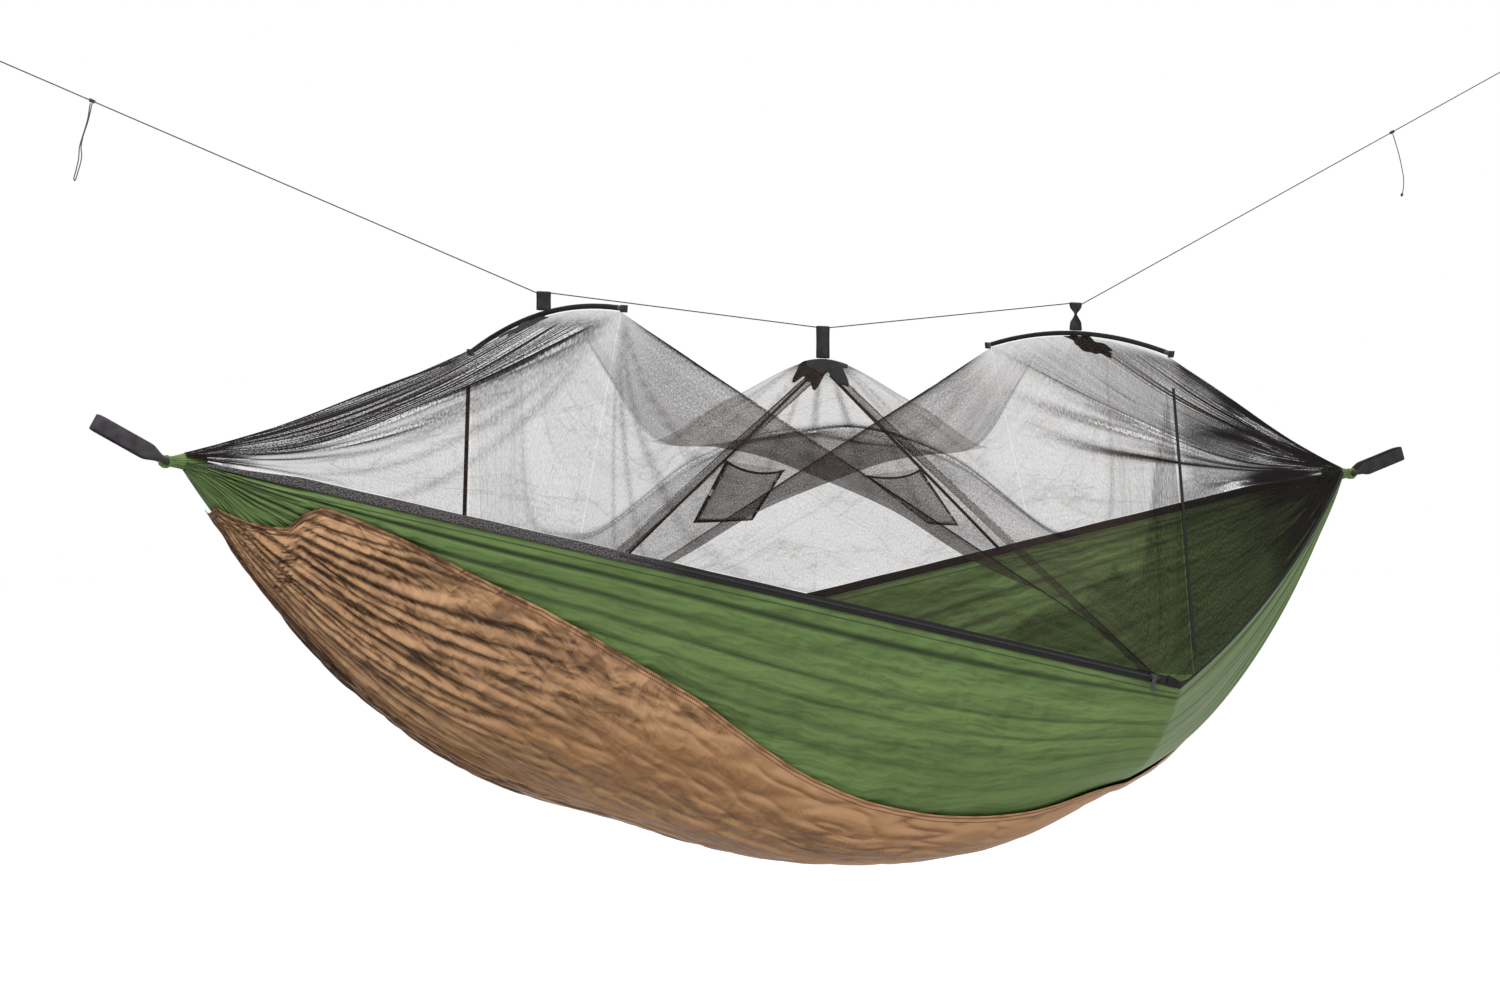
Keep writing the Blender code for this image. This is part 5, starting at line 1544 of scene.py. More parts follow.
@dataclass
class Suspension:
    """The webbing loops that hang the hammock."""

    finishes: Finishes
    width: float = 0.025
    fade: float = 0.030

    def section(self, flat: float) -> list[tuple[float, float]]:
        """The strap's outline, from a round bundle to a flat strap.

        Args:
            flat: 0 for the bundle, 1 for the flat strap.

        Returns:
            Places (across, along the width) round it.
        """
        thick, wide = LAYOUT.strap_thick / 2, self.width / 2
        shares = (1.0, 0.94, 0.5, 0.0, -0.5, -0.94, -1.0)
        front = [(thick if abs(share) < 1 else thick / 2, wide * share) for share in shares]
        corners = front + [(-across, along) for across, along in reversed(front)]
        made = []
        for i, (across, along) in enumerate(corners):
            angle = math.pi / 2 - (i + 0.5) * 2 * math.pi / len(corners)
            ball = (LAYOUT.bundle * math.cos(angle), LAYOUT.bundle * math.sin(angle))
            made.append((ball[0] + (across - ball[0]) * flat, ball[1] + (along - ball[1]) * flat))
        return made

    @staticmethod
    def path(reach: float) -> list[tuple[float, float, float]]:
        """The way round the loop: through the eye, out, round the bend and back.

        Args:
            reach: How far the loop reaches from the eye.

        Returns:
            How far out, how far aside and which way it heads, at each place.
        """
        half, corner = LAYOUT.eye_length / 2, LAYOUT.loop_corner
        bend = half + corner
        path = [(0.0, 0.0, 0.0), (0.0, half * 0.5, 0.0), (0.0, half, 0.0)]
        for i in range(1, 7):
            t = math.radians(15 * i)
            path.append((corner * (1 - math.cos(t)), half + corner * math.sin(t), t))
        straight = reach - bend - corner
        path += [(corner + straight * share, bend, math.pi / 2) for share in np.linspace(0.04, 0.96, 24)]
        back = [(pull, -side, -heading) for pull, side, heading in path[1:]]
        for i in range(LAYOUT.bend_steps + 1):
            t = math.pi * i / LAYOUT.bend_steps
            path.append((reach - bend + bend * math.sin(t), bend * math.cos(t), math.pi / 2 + t))
        return path + back[::-1]

    def add_loop(self, side: int, word: str, reach: float, degrees: float, material: Material) -> None:
        """One loop, bunched where it passes through the eye.

        Args:
            side: -1 for the left one, 1 for the right one.
            word: The side's name.
            reach: How far it reaches from the eye.
            degrees: How steeply it rises.
            material: Its finish.
        """
        lift = math.radians(degrees)
        pull = vec(side * math.cos(lift), 0, math.sin(lift))
        wide = vec(-side * math.sin(lift), 0, math.cos(lift))
        centre = vec(side * LAYOUT.half_span, 0, 0)
        rings, flats = [], []
        run, last = 0.0, None
        for out, across, heading in self.path(reach):
            normal = pull * -math.cos(heading) + vec(0, math.sin(heading), 0)
            middle = centre + pull * out + vec(0, across, 0)
            run += 0.0 if last is None else float(np.linalg.norm(middle - last))
            last = middle
            flat = float(step(LAYOUT.loop_corner, LAYOUT.loop_corner + self.fade, np.array(out)))
            section = self.section(flat)
            rings.append([middle + normal * a + wide * b for a, b in section])
            flats.append([(run, b) for _, b in section])
        rings.append(rings[0])
        flats.append([(run + 0.004, b) for _, b in flats[0]])
        name = f"{word}_webbing_loop"
        piece = grid_piece(name, np.array(rings), material, flat=np.array(flats), round_trip=True)
        tidy_mesh(piece.data, 1e-5)
        settle(piece, "webbing", f"{word}_webbing", f"{word}_loop")

    def build(self) -> None:
        """Builds both loops."""
        self.add_loop(-1, "left", LAYOUT.left_reach, LAYOUT.left_lift, self.finishes.webbing)
        self.add_loop(1, "right", LAYOUT.right_reach, LAYOUT.right_lift, self.finishes.dark_webbing)


@dataclass
class Spreaders:
    """The sleeves on the bent rods, and the webbing tabs at their ends."""

    finishes: Finishes
    cap_length: float = 0.014
    cap_floor: float = 0.004
    tab_width: float = 0.014
    tab_length: float = 0.012
    tab_thick: float = 0.0016

    def add_rod_cloth(self, side: int, word: str) -> None:
        """The sleeve of one rod and both its tabs.

        Args:
            side: -1 for the left rod, 1 for the right one.
            word: The side's name.
        """
        ends = LAYOUT.rod(side, np.array((-1.0, 1.0)))
        total = float(np.linalg.norm(ends[1] - ends[0]))
        short = 1 - 2 * (self.cap_length - 2 * self.cap_floor) / total
        s = np.linspace(-short, short, 150)
        path = LAYOUT.rod(side, s)
        wrinkle = 1 + 0.012 * np.sin(23 * s + 3 * np.sin(7 * s))
        sleeve = tube(f"{word}_sleeve", path, LAYOUT.sleeve_radius * wrinkle * 0.97, self.finishes.trim, 20)
        settle(sleeve, "trim", ROOT, f"{word}_rod_sleeve")
        reach = 1 + 2 * self.cap_floor / total
        for end, place in ((-1, "near"), (1, "far")):
            tip = LAYOUT.rod(side, np.array(end * reach))
            along = unit(tip - LAYOUT.rod(side, np.array(end * (reach - 0.02))))
            level = unit(np.cross(along, UP))
            down = unit(np.cross(level, along))
            down = down if down[2] < 0 else -down
            top = LAYOUT.clear + self.cap_floor
            middle = tip + along * (top + LAYOUT.clear + self.tab_thick / 2)
            t = np.linspace(-1, 1, 15)
            sway = 0.0002 * np.cos(3 * t)
            path = middle + down * (t * self.tab_length / 2)[:, None] + along * sway[:, None]
            name = f"{word}_{place}_tab"
            tab = strap(name, path, level, self.tab_width, self.tab_thick, self.finishes.dark_webbing)
            settle(tab, "webbing", ROOT, f"{word}_rod_{place}_tab")

    def build(self) -> None:
        """Dresses both rods."""
        for side, word in SIDES:
            self.add_rod_cloth(side, word)
            for part in ("", "_near_cap", "_far_cap"):
                repaint(f"{word}_rod{part}", self.finishes.plastic)


@dataclass
class Tapes:
    """The inner tapes from the peak to the hems, the seam tapes and the patches."""

    finishes: Finishes
    net: BugNet
    width: float = 0.0180
    thin: float = 0.0060
    thick: float = 0.0012
    foot: float = 0.475
    drop: float = 0.026
    seam_width: float = 0.0100
    seam_thick: float = 0.0010
    sway: float = 0.0003
    patch_thick: float = 0.0008

    def top(self, x: float) -> Array:
        """The upper end of a near inner tape."""
        return LAYOUT.peak + vec(x, -self.width / 3, -self.drop)

    def low(self, x: float, top: Array, width: float) -> Array:
        """The lower end of an inner tape, against the near hem band.

        Args:
            x: Where along the hammock it ends.
            top: Its upper end.
            width: Its width.

        Returns:
            The place.
        """
        face = -(LAYOUT.band_thick / 2 + LAYOUT.clear)
        along = unit(HEM.at(HEM.along_of(x), BAND_MIDDLE, face) - top)
        normal = unit(np.cross(along, HEM.along))
        side = np.cross(normal, along)
        corner = abs(side @ HEM.out) * width / 2 + abs(normal @ HEM.out) * self.thick / 2
        return HEM.at(HEM.along_of(x), BAND_MIDDLE, face - corner)

    def far_ends(self) -> tuple[Array, Array, Array, Array]:
        """The ends of the far tapes.

        Returns:
            The tops of the left and the right one, then their feet.
        """
        corner = LAYOUT.corner_along - 2 * LAYOUT.band_stop
        left_top, right_top = self.top(self.width), self.top(-self.width)
        left_low = self.low(corner, left_top, self.thin)
        right_low = self.low(-self.foot, right_top, self.thin)
        return turned(left_top), turned(right_top), turned(left_low), turned(right_low)

    def ribbon(
        self, name: str, start: Array, end: Array, across: Array, width: float, node: str, open_weave: bool
    ) -> None:
        """A taut tape between two places, of folded net with firm edges where it is open.

        Args:
            name: Its name.
            start: Its upper end.
            end: Its lower end.
            across: Roughly the direction of its width.
            width: Its width.
            node: The node that it replaces.
            open_weave: Whether it is of net.
        """
        t = np.linspace(0, 1, 90)[:, None]
        along = unit(end - start)
        face = unit(np.cross(along, across))
        side = np.cross(face, along)
        path = start + (end - start) * t + face * self.sway * np.sin(t * 19)
        if not open_weave:
            settle(strap(name, path, side, width, self.thick, self.finishes.trim), "webbing", ROOT, node)
            return
        shares = np.linspace(-1, 1, 15)
        points = path[:, None] + side * (shares * width / 2)[None, :, None]
        layers = 4.5 + 9.0 * step(0.62, 0.86, np.abs(shares))
        run = np.broadcast_to(t * 3, points.shape[:2])
        side_way = np.broadcast_to(shares * 0.4, points.shape[:2])
        values = {"layers": np.broadcast_to(layers, points.shape[:2]), "along": run, "across": side_way}
        piece = settle(grid_piece(name, points, self.finishes.net, values), "webbing", ROOT, node)

    def add_inner(self) -> None:
        """The four inner tapes."""
        corner = LAYOUT.corner_along - 2 * LAYOUT.band_stop
        for word, spread, foot in (("left", -self.width, -self.foot), ("right", self.width, corner)):
            top = self.top(spread)
            end = self.low(foot, top, self.width)
            self.ribbon(f"near_{word}_strip", top, end, HEM.along, self.width, f"near_{word}_tape", True)
        left_top, right_top, left_low, right_low = self.far_ends()
        back = turned(HEM.along)
        self.ribbon("far_left_strip", left_top, left_low, back, self.thin, "far_left_tape", False)
        self.ribbon("far_right_strip", right_top, right_low, back, self.thin, "far_right_tape", False)

    def add_seams(self) -> None:
        """The tapes over the upright seams under the near right and far left rod ends."""
        vs = np.linspace(0.2 / 24, 2.7 / 24, 30)
        us = np.array((0.0, 1 / 12))
        trim = LAYOUT.net_thick / LAYOUT.half_span
        edge = self.net.surface(11, 14, trim + us * (1 - 2 * trim), vs)
        across = unit(edge[1] - edge[0])
        out = unit(np.cross(np.gradient(edge[0], axis=0), across))
        out = np.where(out[:, 1:2] > 0, -out, out)
        lift = (LAYOUT.net_thick + self.thick) / 2 + 3 * LAYOUT.clear
        path = edge[0] + across * self.seam_width * 0.6 + out * lift
        for word, line, side in (("near_right", path, across), ("far_left", turned(path), turned(across))):
            tape = strap(f"{word}_seam", line, side, self.seam_width, self.seam_thick, self.finishes.trim)
            settle(tape, "trim", ROOT, f"{word}_seam_tape")

    def add_patch(
        self, word: str, panel: tuple[int, int], spot: tuple[float, float], reach: tuple[float, float]
    ) -> None:
        """A reinforcing patch on the net at a hanging point, with a scalloped edge.

        Args:
            word: Which hanging point.
            panel: The first and the last station of the panel that it lies on.
            spot: Its middle, in stations and rails.
            reach: Its half sizes, in stations and rails.
        """
        first, last = panel
        sections = self.net.sections()[first : last + 1]
        around = circle(60)
        rows = []
        for share in np.linspace(0.02, 1, 12):
            scallop = share * (1 + 0.16 * np.cos(5 * around + 0.6) + 0.07 * np.cos(11 * around))
            ring = []
            for size, turn in zip(scallop, around):
                station = np.clip(spot[0] + reach[0] * size * math.cos(turn), first + 0.01, last - 0.01)
                rail = spot[1] + reach[1] * size * math.sin(turn)
                places = np.array([self.net.over(section, rail / self.net.rails) for section in sections])
                ring.append(self.net.through(places, station - first))
            rows.append(ring)
        points = np.array(rows)
        rise = 0.0022 + 0.0010 * np.sin(7 * around)[None] * np.linspace(0, 1, 12)[:, None]
        middle = points[0].mean(0)
        away = unit(np.cross(points[-1][0] - middle, points[-1][15] - middle))
        away = away if away[2] > 0 else -away
        points = points + away * rise[..., None]
        piece = grid_piece(f"{word}_patch_cloth", points, self.finishes.trim, round_trip=True)
        thicken(piece, self.patch_thick)
        settle(piece, "trim", ROOT, f"{word}_peak_patch")

    def add_patches(self) -> None:
        """The reinforcing patches at the three hanging points."""
        self.add_patch("left", (0, 3), (2.86, 4.0), (0.17, 0.52))
        self.add_patch("middle", (3, 11), (7.0, 4.0), (0.22, 0.50))
        self.add_patch("right", (11, 14), (11.14, 4.0), (0.17, 0.52))

    def build(self) -> None:
        """Builds all tapes and patches."""
        self.add_inner()
        self.add_seams()
        self.add_patches()


@dataclass
class Pockets:
    """The two net pockets hung between the far tapes."""

    finishes: Finishes
    tapes: Tapes
    depth: float = 0.014
    wall: float = 0.0012
    trim_width: float = 0.0050
    trim_thick: float = 0.0010
    trim_lift: float = 0.0008
    mouth_sag: float = 0.010

    left_shares: tuple = ((0.284, 0.001), (0.216, 0.165), (0.3545, 0.223), (0.448, 0.078))
    right_shares: tuple = ((0.1016, 0.3835), (0.001, 0.513), (0.030, 0.800), (0.0785, 0.7055))

    def add_pocket(self, word: str, shares: tuple) -> None:
        """One pocket: a flat net pouch with firm edges and a sagging mouth.

        Args:
            word: Its side's name.
            shares: Its corners, as shares of the way down the left and the right tape.
        """
        left_top, right_top, left_low, right_low = self.tapes.far_ends()
        inward = unit(np.cross(left_low - left_top, right_low - right_top))
        inward = inward if inward[1] < 0 else -inward
        seat = inward * (self.tapes.thick / 2 + 3 * LAYOUT.clear)
        corners = []
        for a, b in shares:
            top = (left_top * a + right_top * b) / (a + b)
            corners.append(left_low * a + right_low * b + top * (1 - a - b) + seat)
        first, second, third, fourth = corners
        u, v = np.meshgrid(np.linspace(0, 1, 36), np.linspace(0, 1, 36), indexing="ij")

        def wall(lift: Array, sag: float) -> Array:
            """One wall of the pouch.

            Args:
                lift: How far it stands off the tapes.
                sag: How far its mouth is drawn down.

            Returns:
                Its points.
            """
            upper = first + (second - first) * u[..., None]
            lower = fourth + (third - fourth) * u[..., None]
            dip = unit(lower - upper) * (sag * 4 * u * (1 - u) * (1 - v))[..., None]
            return upper + (lower - upper) * v[..., None] + dip + inward * lift[..., None]

        belly = np.sin(math.pi * u) ** 0.7 * np.sin(math.pi * np.minimum(v * 0.8 + 0.2, 1)) ** 0.7
        rim = np.minimum(np.minimum(u, 1 - u), 1 - v)
        back = wall(np.full(u.shape, self.wall), 0.0)
        front = wall(self.wall + (self.depth - 2 * self.wall) * belly, self.mouth_sag)
        points = np.concatenate((back, front[:, ::-1]), 1)
        layers = 2.0 + 13.0 * step(0.07, 0.03, rim)
        values = {
            "layers": np.concatenate((layers, layers[:, ::-1]), 1),
            "along": np.concatenate((u, u), 1),
            "across": np.concatenate((v, v), 1),
        }
        piece = grid_piece(f"{word}_pouch", points, self.finishes.net, values)
        settle(piece, "netting", ROOT, f"{word}_pocket")
        edge = front[:, 0] + inward * self.trim_lift
        down = unit(fourth - first)
        trim = strap(f"{word}_mouth", edge, down, self.trim_width, self.trim_thick, self.finishes.trim)
        settle(trim, "trim", ROOT, f"{word}_pocket_trim")

    def build(self) -> None:
        """Builds both pockets."""
        self.add_pocket("left", self.left_shares)
        self.add_pocket("right", self.right_shares)


@dataclass
class RidgeLine:
    """The cord over the net, its three hangers and its two sliding knots."""

    finishes: Finishes
    radius: float = 0.0010
    left_height: float = 0.2902
    middle_height: float = 0.2492
    right_height: float = 0.3102
    left_end: tuple[float, float] = (1.475, 0.3346)
    right_end: tuple[float, float] = (1.600, 0.5240)
    hanger_width: float = 0.025
    hanger_thick: float = 0.0013
    hanger_bore: float = 0.0017
    left_knot: float = 1.2967
    right_knot: float = 1.2857
    hitch_size: tuple[float, float, float] = (0.0032, 0.0110, 0.0009)
    stopper_size: tuple[float, float, float] = (0.0031, 0.012, 0.0010)
    stopper_back: float = 0.007
    tail_size: tuple[float, float, float] = (0.0026, 0.007, 0.0008)
    tail_back: float = 0.003
    drop_radius: float = 0.0009
    drop_length: float = 0.122
    hanger_squeeze: float = 0.45
    patch_rise: float = 0.0012

    left_drop: tuple = (
        (0.012, 0, 0), (-0.035, 0.010, 0.22), (-0.105, 0.014, 0.45), (-0.125, 0.010, 0.56),
        (-0.120, 0, 0.68), (-0.165, 0, 0.88), (-0.198, 0, 0.985), (-0.208, 0, 1.0),
        (-0.219, 0, 0.985), (-0.195, 0, 0.88), (-0.160, 0, 0.72), (-0.148, -0.010, 0.56),
        (-0.118, -0.014, 0.45), (-0.050, -0.010, 0.22), (-0.012, 0, 0),
    )
    right_drop: tuple = (
        (0, 0, 0), (0.05, 0, 0.12), (0.11, 0.01, 0.25), (0.19, 0.02, 0.48),
        (0.24, 0.02, 0.72), (0.22, 0.01, 0.90), (0.18, 0, 1.0),
    )

    @property
    def saddle(self) -> float:
        """Half the length over which the cord lies level in a hanger."""
        return self.hanger_width / 2 + self.hanger_bore

    def tops(self) -> tuple[Array, Array, Array]:
        """Where the cord passes through the left, the middle and the right hanger."""
        x = LAYOUT.rod_station
        return vec(-x, 0, self.left_height), vec(0, 0, self.middle_height), vec(x, 0, self.right_height)

    def ends(self) -> tuple[Array, Array]:
        """The cord's left and right end, outside the view."""
        (left, left_rise), (right, right_rise) = self.left_end, self.right_end
        return vec(-left, 0, self.left_height + left_rise), vec(right, 0, self.right_height + right_rise)

    def run(self, start: Array, end: Array) -> Array:
        """A taut stretch, level where it passes through a hanger.

        Args:
            start: Where it starts.
            end: Where it ends.

        Returns:
            Its points.
        """
        along = vec(math.copysign(1, end[0] - start[0]), 0, 0)
        level = along * LAYOUT.clear / 2, along * self.saddle
        route, tail = [start], [end]
        if abs(start[0]) < self.left_end[0]:
            route = [start + level[0], start + level[1]]
        if abs(end[0]) < self.left_end[0]:
            tail = [end - level[1], end - level[0]]
        low, high = route[-1], tail[0]
        between = [low + (high - low) * t for t in np.linspace(0, 1, 42)[1:-1]]
        return np.array(route + between + tail)

    def stopper(self, name: str, centre: Array, along: Array, size: tuple[float, float, float]) -> Piece:
        """A barrel knot: turns of cord wound round an axis.

        Args:
            name: The piece's name.
            centre: Its middle.
            along: The direction of its axis.
            size: Its outer radius, its length and the cord's radius.

        Returns:
            The piece.
        """
        radius, length, wire = size
        turns = max(2, int(length / wire / 2.1))
        t = np.linspace(0, 1, turns * 16)
        angle = t * turns * 2 * math.pi
        side = unit(np.cross(along, vec(0, 1, 0)))
        other = np.cross(along, side)
        reach = (radius - wire) * (0.93 + 0.07 * np.sin(math.pi * t))
        spread = (t - 0.5) * (length - 2 * wire)
        path = centre + along * spread[:, None]
        path = path + side * (reach * np.cos(angle))[:, None] + other * (reach * np.sin(angle))[:, None]
        return tube(name, path, wire, self.finishes.cord, 8)

    def drop(self, centre: Array, heading: Array, shares: tuple, count: int) -> Array:
        """The points of what hangs under a knot.

        Args:
            centre: The knot's middle.
            heading: The direction of the ridge line there.
            shares: Its places (along, aside, down) as shares of its length.
            count: How many points are made.

        Returns:
            The points.
        """
        under = np.cross(vec(0, 1, 0), heading)
        under = under if under[2] < 0 else -under
        top = centre + under * (self.hitch_size[0] + LAYOUT.clear + self.drop_radius / 2)
        table = np.array(shares, float)
        made = []
        for t in np.linspace(0, len(table) - 1, count):
            along, aside, down = BugNet.through(table, t)
            made.append(top + vec(along, aside, -down) * self.drop_length)
        return np.array(made)

    def cord_of(self, node: str, body: str, path: Array, radius: float) -> Piece:
        """A cord along a path, in the place of a packed one."""
        return settle(tube(node + "_cord", path, radius, self.finishes.cord, 10), "cord", body, node)

    @staticmethod
    def declare(piece: Piece, path: Array, radius: float, lay: str, knots: list[Piece]) -> None:
        """Works out a cord's points in the model's frame, and does nothing more with them.

        Args:
            piece: Not used.
            path: Its points.
            radius: Not used.
            lay: Not used.
            knots: Not used.
        """
        world = (path + LAYOUT.shift).tolist()

    def add_cord(self) -> None:
        """The four stretches of the ridge line, with the stopper knots outside the view."""
        (left, middle, right), (left_end, right_end) = self.tops(), self.ends()
        for word, start, end in (
            ("outer_left", left, left_end),
            ("outer_right", right, right_end),
            ("inner_left", left, middle),
            ("inner_right", middle, right),
        ):
            node, path, knots = f"ridge_line_{word}", self.run(start, end), []
            piece = self.cord_of(node, ROOT, path, self.radius)
            if "outer" in word:
                heading = unit(path[-1] - path[-2])
                place = end - heading * self.stopper_back
                knots = [self.stopper(node + "_knot", place, heading, self.stopper_size)]
                settle(knots[0], "cord", ROOT)
            self.declare(piece, path, self.radius, "taut", knots)

    def add_knots(self) -> None:
        """The sliding knots with the loop and the tail that hang from them."""
        (left, _, right), (left_end, right_end) = self.tops(), self.ends()
        aside = vec(self.saddle, 0, 0)
        for word, reach, inner, outer, shares, kind in (
            ("left", self.left_knot, left - aside, left_end, self.left_drop, "loop"),
            ("right", self.right_knot, right + aside, right_end, self.right_drop, "tail"),
        ):
            share = (reach - abs(inner[0])) / (abs(outer[0]) - abs(inner[0]))
            centre = inner + (outer - inner) * share
            heading = unit(inner - outer)
            body, knots = f"{word}_knot", []
            hitch = self.stopper(f"{word}_hitch_turns", centre, heading, self.hitch_size)
            settle(hitch, "cord", body, f"{word}_hitch")
            path = self.drop(centre, heading, shares, 120)
            piece = self.cord_of(f"{word}_hitch_{kind}", body, path, self.drop_radius)
            if kind == "tail":
                heading = unit(path[-1] - path[-4])
                place = path[-1] - heading * self.tail_back
                knots = [self.stopper("tail_knot", place, heading, self.tail_size)]
                settle(knots[0], "cord", body)
            self.declare(piece, path, self.drop_radius, "hanging", knots)

    def add_hanger(self, word: str, place: Array, bottom: float, twist: float) -> None:
        """A webbing band over the cord, down to the net.

        Args:
            word: Its side's name.
            place: Where the cord passes through it.
            bottom: The height of its seat.
            twist: How far its top is turned about itself.
        """
        top = place[2] + self.radius + LAYOUT.clear + self.hanger_thick / 2
        bend = self.hanger_bore + self.hanger_thick / 2
        high, low = top - bend, bottom + self.hanger_thick / 2 + bend
        arc, side_run = np.linspace(0, math.pi, 13), np.linspace(0.04, 0.96, 26)
        path = [(high + bend * math.sin(t), bend * math.cos(t)) for t in arc]
        path += [(high + (low - high) * s, -bend) for s in side_run]
        path += [(low - bend * math.sin(t), -bend * math.cos(t)) for t in arc]
        path += [(high + (low - high) * s, bend) for s in np.linspace(0.96, 0.04, 26)]
        table = np.array(path)
        share = (table[:, 0] - bottom) / (top - bottom)
        angle = twist * (1 - step(0.12, 0.86, share))
        squeeze = 1 - self.hanger_squeeze * bump_at(share, 0.5, 0.35) * (twist > 0)
        side = table[:, 1] * (1 - 0.25 * step(0.05, 0.5, share) * step(0.95, 0.6, share))
        points = np.stack((place[0] - side * np.sin(angle), side * np.cos(angle), table[:, 0]), -1)
        wide = np.stack((np.cos(angle), np.sin(angle), 0 * angle), -1)
        name, width, material = f"{word}_hanger_band", self.hanger_width * squeeze, self.finishes.dark_webbing
        band = strap(name, points, wide, width, self.hanger_thick, material, round_trip=True)
        settle(band, "webbing", ROOT, f"{word}_hanger")

    def build(self) -> None:
        """Builds the ridge line."""
        self.add_cord()
        self.add_knots()
        over_rod = float(LAYOUT.rod(-1, np.array(0.0))[2]) + LAYOUT.sleeve_radius + LAYOUT.clear
        over_peak = LAYOUT.peak_height + LAYOUT.net_thick / 2 + self.patch_rise + 3 * LAYOUT.clear
        seats, twists = (over_rod, over_peak, over_rod), (0.0, 0.0, math.pi)
        for row in zip(("left", "middle", "right"), self.tops(), seats, twists):
            self.add_hanger(*row)


@dataclass
class Zip:
    """The coil zip on the near hem band."""

    finishes: Finishes
    foot: float = 0.475
    chain_width: float = 0.0040
    chain_thick: float = 0.0020
    chain_stop: float = 0.014
    pitch: float = 0.0020
    tooth_share: float = 0.62
    tooth_bevel: float = 0.22

    @staticmethod
    def tooth_tree() -> bpy.types.NodeTree:
        """Geometry nodes that repeat one tooth along a line.

        Returns:
            The tree.
        """
        tree = bpy.data.node_groups.new("zip_teeth", "GeometryNodeTree")
        inputs = {"Geometry": "Geometry", "Pitch": "Float", "Tooth": "Object", "Finish": "Material"}
        for name, kind in inputs.items():
            tree.interface.new_socket(name, in_out="INPUT", socket_type=f"NodeSocket{kind}")
        tree.interface.new_socket("Geometry", in_out="OUTPUT", socket_type="NodeSocketGeometry")
        source, result = tree.nodes.new("NodeGroupInput").outputs, tree.nodes.new("NodeGroupOutput")
        curve, spots, info, copies, real, paint = (
            tree.nodes.new(f"GeometryNode{kind}")
            for kind in (
                "MeshToCurve", "CurveToPoints", "ObjectInfo",
                "InstanceOnPoints", "RealizeInstances", "SetMaterial",
            )
        )
        spots.mode = "LENGTH"
        for output, target in (
            (source["Geometry"], curve.inputs[0]),
            (curve.outputs[0], spots.inputs[0]),
            (source["Pitch"], spots.inputs["Length"]),
            (spots.outputs["Points"], copies.inputs["Points"]),
            (source["Tooth"], info.inputs["Object"]),
            (info.outputs["Geometry"], copies.inputs["Instance"]),
            (copies.outputs[0], real.inputs[0]),
            (real.outputs[0], paint.inputs["Geometry"]),
            (source["Finish"], paint.inputs["Material"]),
            (paint.outputs[0], result.inputs[0]),
        ):
            tree.links.new(output, target)
        return tree

    def tooth(self) -> Piece:
        """One tooth of the coil, a bevelled block at the origin.

        Returns:
            The tooth.
        """
        work = bmesh.new()
        bmesh.ops.create_cube(work, size=1)
        bmesh.ops.bevel(work, geom=work.edges, offset=self.tooth_bevel, segments=1, affect="EDGES")
        along = HEM.along * self.pitch * self.tooth_share
        axes = (along, HEM.up * self.chain_width, HEM.out * self.chain_thick)
        place = Matrix([Vector(axis) for axis in axes]).transposed().to_4x4()
        bmesh.ops.transform(work, matrix=place, verts=work.verts)
        mesh = bpy.data.meshes.new("tooth")
        work.to_mesh(mesh)
        work.free()
        return link("tooth", mesh)

    def build(self) -> None:
        """Builds the coil and repaints the slider."""
        tooth = self.tooth()
        stop = HEM.length - LAYOUT.band_stop - self.chain_stop
        out = LAYOUT.band_thick / 2 + LAYOUT.clear + self.chain_thick / 2
        line = bpy.data.meshes.new("zip_line")
        reach = (HEM.along_of(-self.foot) + self.pitch, stop - self.pitch)
        ends = [HEM.at(along, BAND_MIDDLE, out) + LAYOUT.shift for along in reach]
        line.from_pydata([tuple(place) for place in ends], [(0, 1)], [])
        holder = link("zip_line", line)
        tree = self.tooth_tree()
        modifier = holder.modifiers.new("Teeth", "NODES")
        modifier.node_group = tree
        keys = {item.name: item.identifier for item in tree.interface.items_tree if item.in_out == "INPUT"}
        for key, value in (("Pitch", self.pitch), ("Tooth", tooth), ("Finish", self.finishes.tooth)):
            modifier[keys[key]] = value
        bpy.context.view_layer.update()
        made = bpy.data.meshes.new_from_object(holder.evaluated_get(bpy.context.evaluated_depsgraph_get()))
        bpy.data.objects.remove(holder)
        bpy.data.objects.remove(tooth)
        made.name = "zip_coil"
        settle(link("zip_coil", made), "zip_teeth", ROOT, "zip_chain")
        for node in ("zip_slider", "zip_pull"):
            repaint(node, self.finishes.metal)


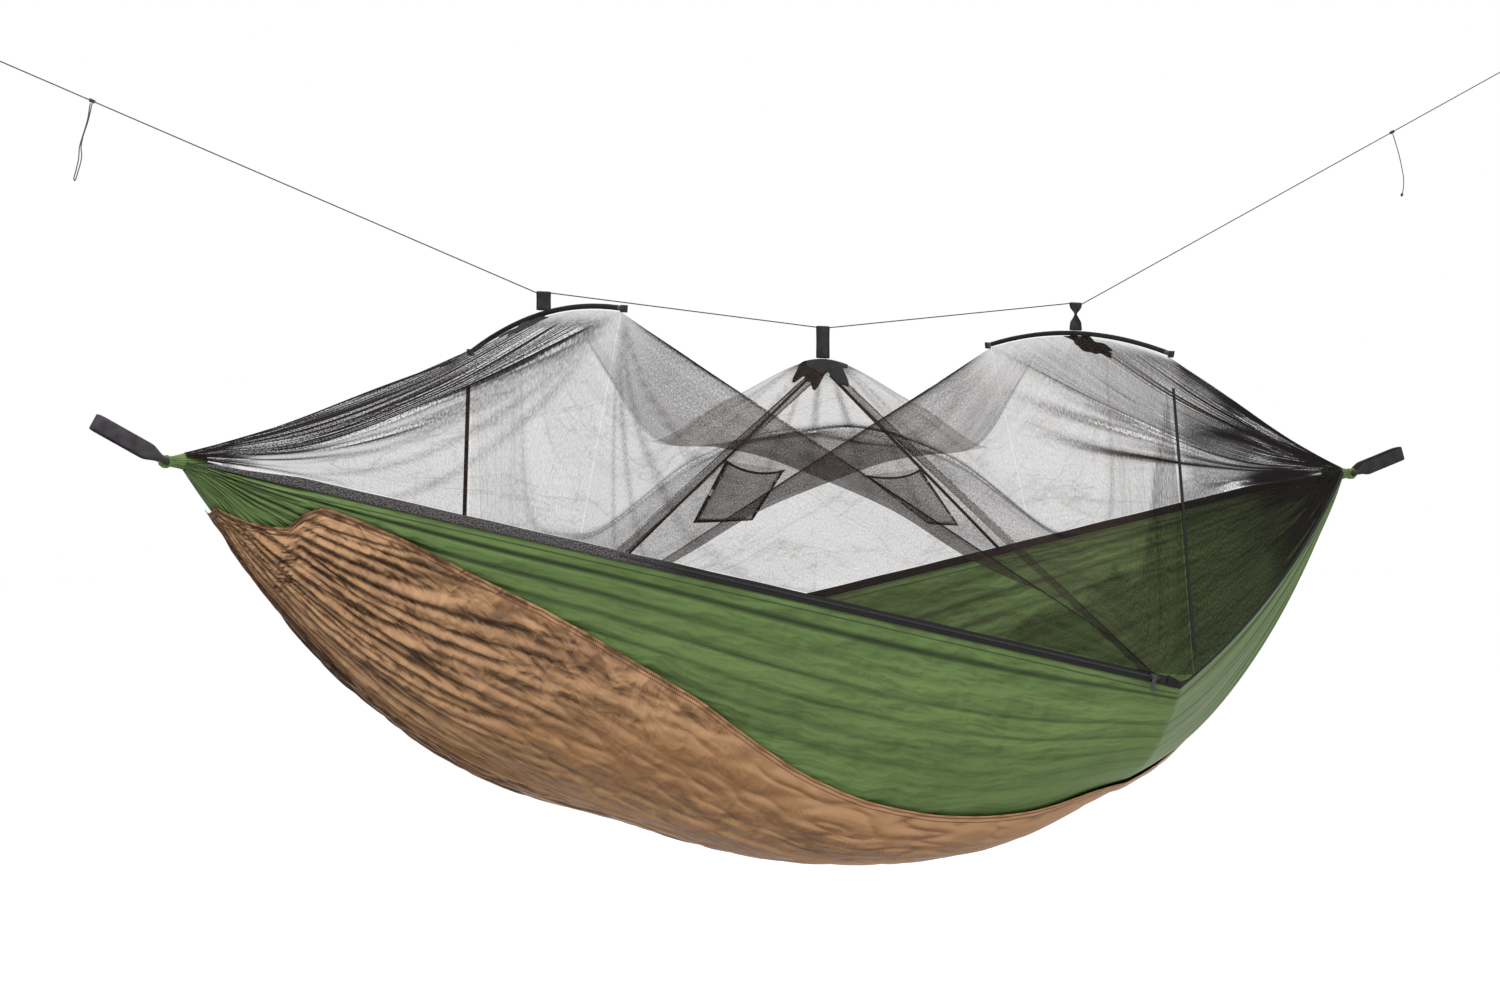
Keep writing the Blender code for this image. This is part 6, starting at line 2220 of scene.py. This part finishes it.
@dataclass
class Studio:
    """The camera, the pale floor and the plain light."""

    floor_height: float = -1.20
    floor_half: float = 40.0
    floor_tone: float = 0.6
    floor_glow: float = 0.69
    world_light: float = 0.45
    lens: float = 66.78
    sensor: float = 36.0
    camera_right: tuple = (0.88935, -0.45722, -0.0003)
    camera_up: tuple = (-0.00382, -0.00809, 0.99996)
    camera_ahead: tuple = (0.4572, 0.88932, 0.00894)
    camera_place: tuple = (-2.3639, -4.3159, -0.0984)
    aim: tuple = (1.3, 0.0, -0.35)
    lamps: tuple[tuple[str, tuple[float, float, float], float, float], ...] = (
        ("key", (-1.2, -2.8, 2.4), 1.2, 150),
        ("fill", (4.0, -3.0, -0.2), 2.5, 42),
        ("over", (1.3, -0.5, 3.2), 2.5, 105),
    )

    def add_camera(self) -> None:
        """The camera at the photograph's viewing angle."""
        data = bpy.data.cameras.new("camera")
        data.lens = self.lens
        data.sensor_width = self.sensor
        data.clip_end = 100
        camera = link("camera", data)
        turn = Matrix((self.camera_right, self.camera_up, -Vector(self.camera_ahead))).transposed()
        place = Vector(vec(*self.camera_place) + LAYOUT.shift)
        camera.matrix_world = Matrix.Translation(place) @ turn.to_4x4()
        bpy.context.scene.camera = camera

    def add_lights(self) -> None:
        """Soft square lamps aimed at the middle of the hammock."""
        for name, place, size, power in self.lamps:
            data = bpy.data.lights.new(name, "AREA")
            data.size, data.energy = size, power
            turn = (Vector(self.aim) - Vector(place)).to_track_quat("-Z", "Y").to_matrix().to_4x4()
            link(name, data).matrix_world = Matrix.Translation(Vector(place)) @ turn

    @staticmethod
    def seen_ray(g: Graph) -> Socket:
        """1 for rays from the camera, from gloss and through glass.

        Args:
            g: The material or world.

        Returns:
            The value.
        """
        ray = g.node("ShaderNodeLightPath").outputs
        seen = g.math("MAXIMUM", ray["Is Camera Ray"], ray["Is Glossy Ray"])
        return g.math("MAXIMUM", seen, ray["Is Transmission Ray"])

    def add_world(self) -> None:
        """An even world that is white to the camera."""
        world = bpy.data.worlds.new("studio")
        bpy.context.scene.world = world
        g = Graph(world)
        g.tree.nodes.clear()
        white = (1.0, 1.0, 1.0)
        seen = g.node("ShaderNodeBackground", Color=white)
        light = g.node("ShaderNodeBackground", Color=white, Strength=self.world_light)
        mix = g.node("ShaderNodeMixShader", {}, self.seen_ray(g), light.outputs[0], seen.outputs[0])
        g.node("ShaderNodeOutputWorld", Surface=mix.outputs[0])

    def add_floor(self) -> None:
        """A wide pale floor that is white to the camera and keeps the shadow."""
        mesh, half = bpy.data.meshes.new("floor"), self.floor_half
        corners = [(-half, -half), (half, -half), (half, half), (-half, half)]
        mesh.from_pydata([(x, y, self.floor_height) for x, y in corners], [], [(0, 1, 2, 3)])
        g = Graph.named("floor")
        shader = g.tree.nodes["Principled BSDF"]
        g.put(shader.inputs["Base Color"], (self.floor_tone,) * 3)
        g.put(shader.inputs["Roughness"], 0.9)
        glow = g.node("ShaderNodeEmission", Strength=g.times(self.seen_ray(g), self.floor_glow))
        both = g.node("ShaderNodeAddShader", {}, shader.outputs[0], glow.outputs[0])
        g.put(g.tree.nodes["Material Output"].inputs[0], both.outputs[0])
        mesh.materials.append(g.owner)
        link("floor", mesh)

    def build(self) -> None:
        """Builds the studio."""
        self.add_camera()
        self.add_world()
        self.add_floor()
        self.add_lights()
        bpy.context.scene.view_settings.view_transform = "Standard"


def main() -> None:
    """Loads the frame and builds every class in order."""
    logging.basicConfig(level=logging.INFO, format="%(name)s %(message)s")
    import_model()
    Studio().build()
    finishes = Finishes()
    RidgeLine(finishes).build()
    Bed(finishes).build()
    net = BugNet(finishes)
    net.build()
    Suspension(finishes).build()
    Spreaders(finishes).build()
    tapes = Tapes(finishes, net)
    tapes.build()
    Pockets(finishes, tapes).build()
    Zip(finishes).build()
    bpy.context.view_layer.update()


if __name__ == "__main__":
    main()
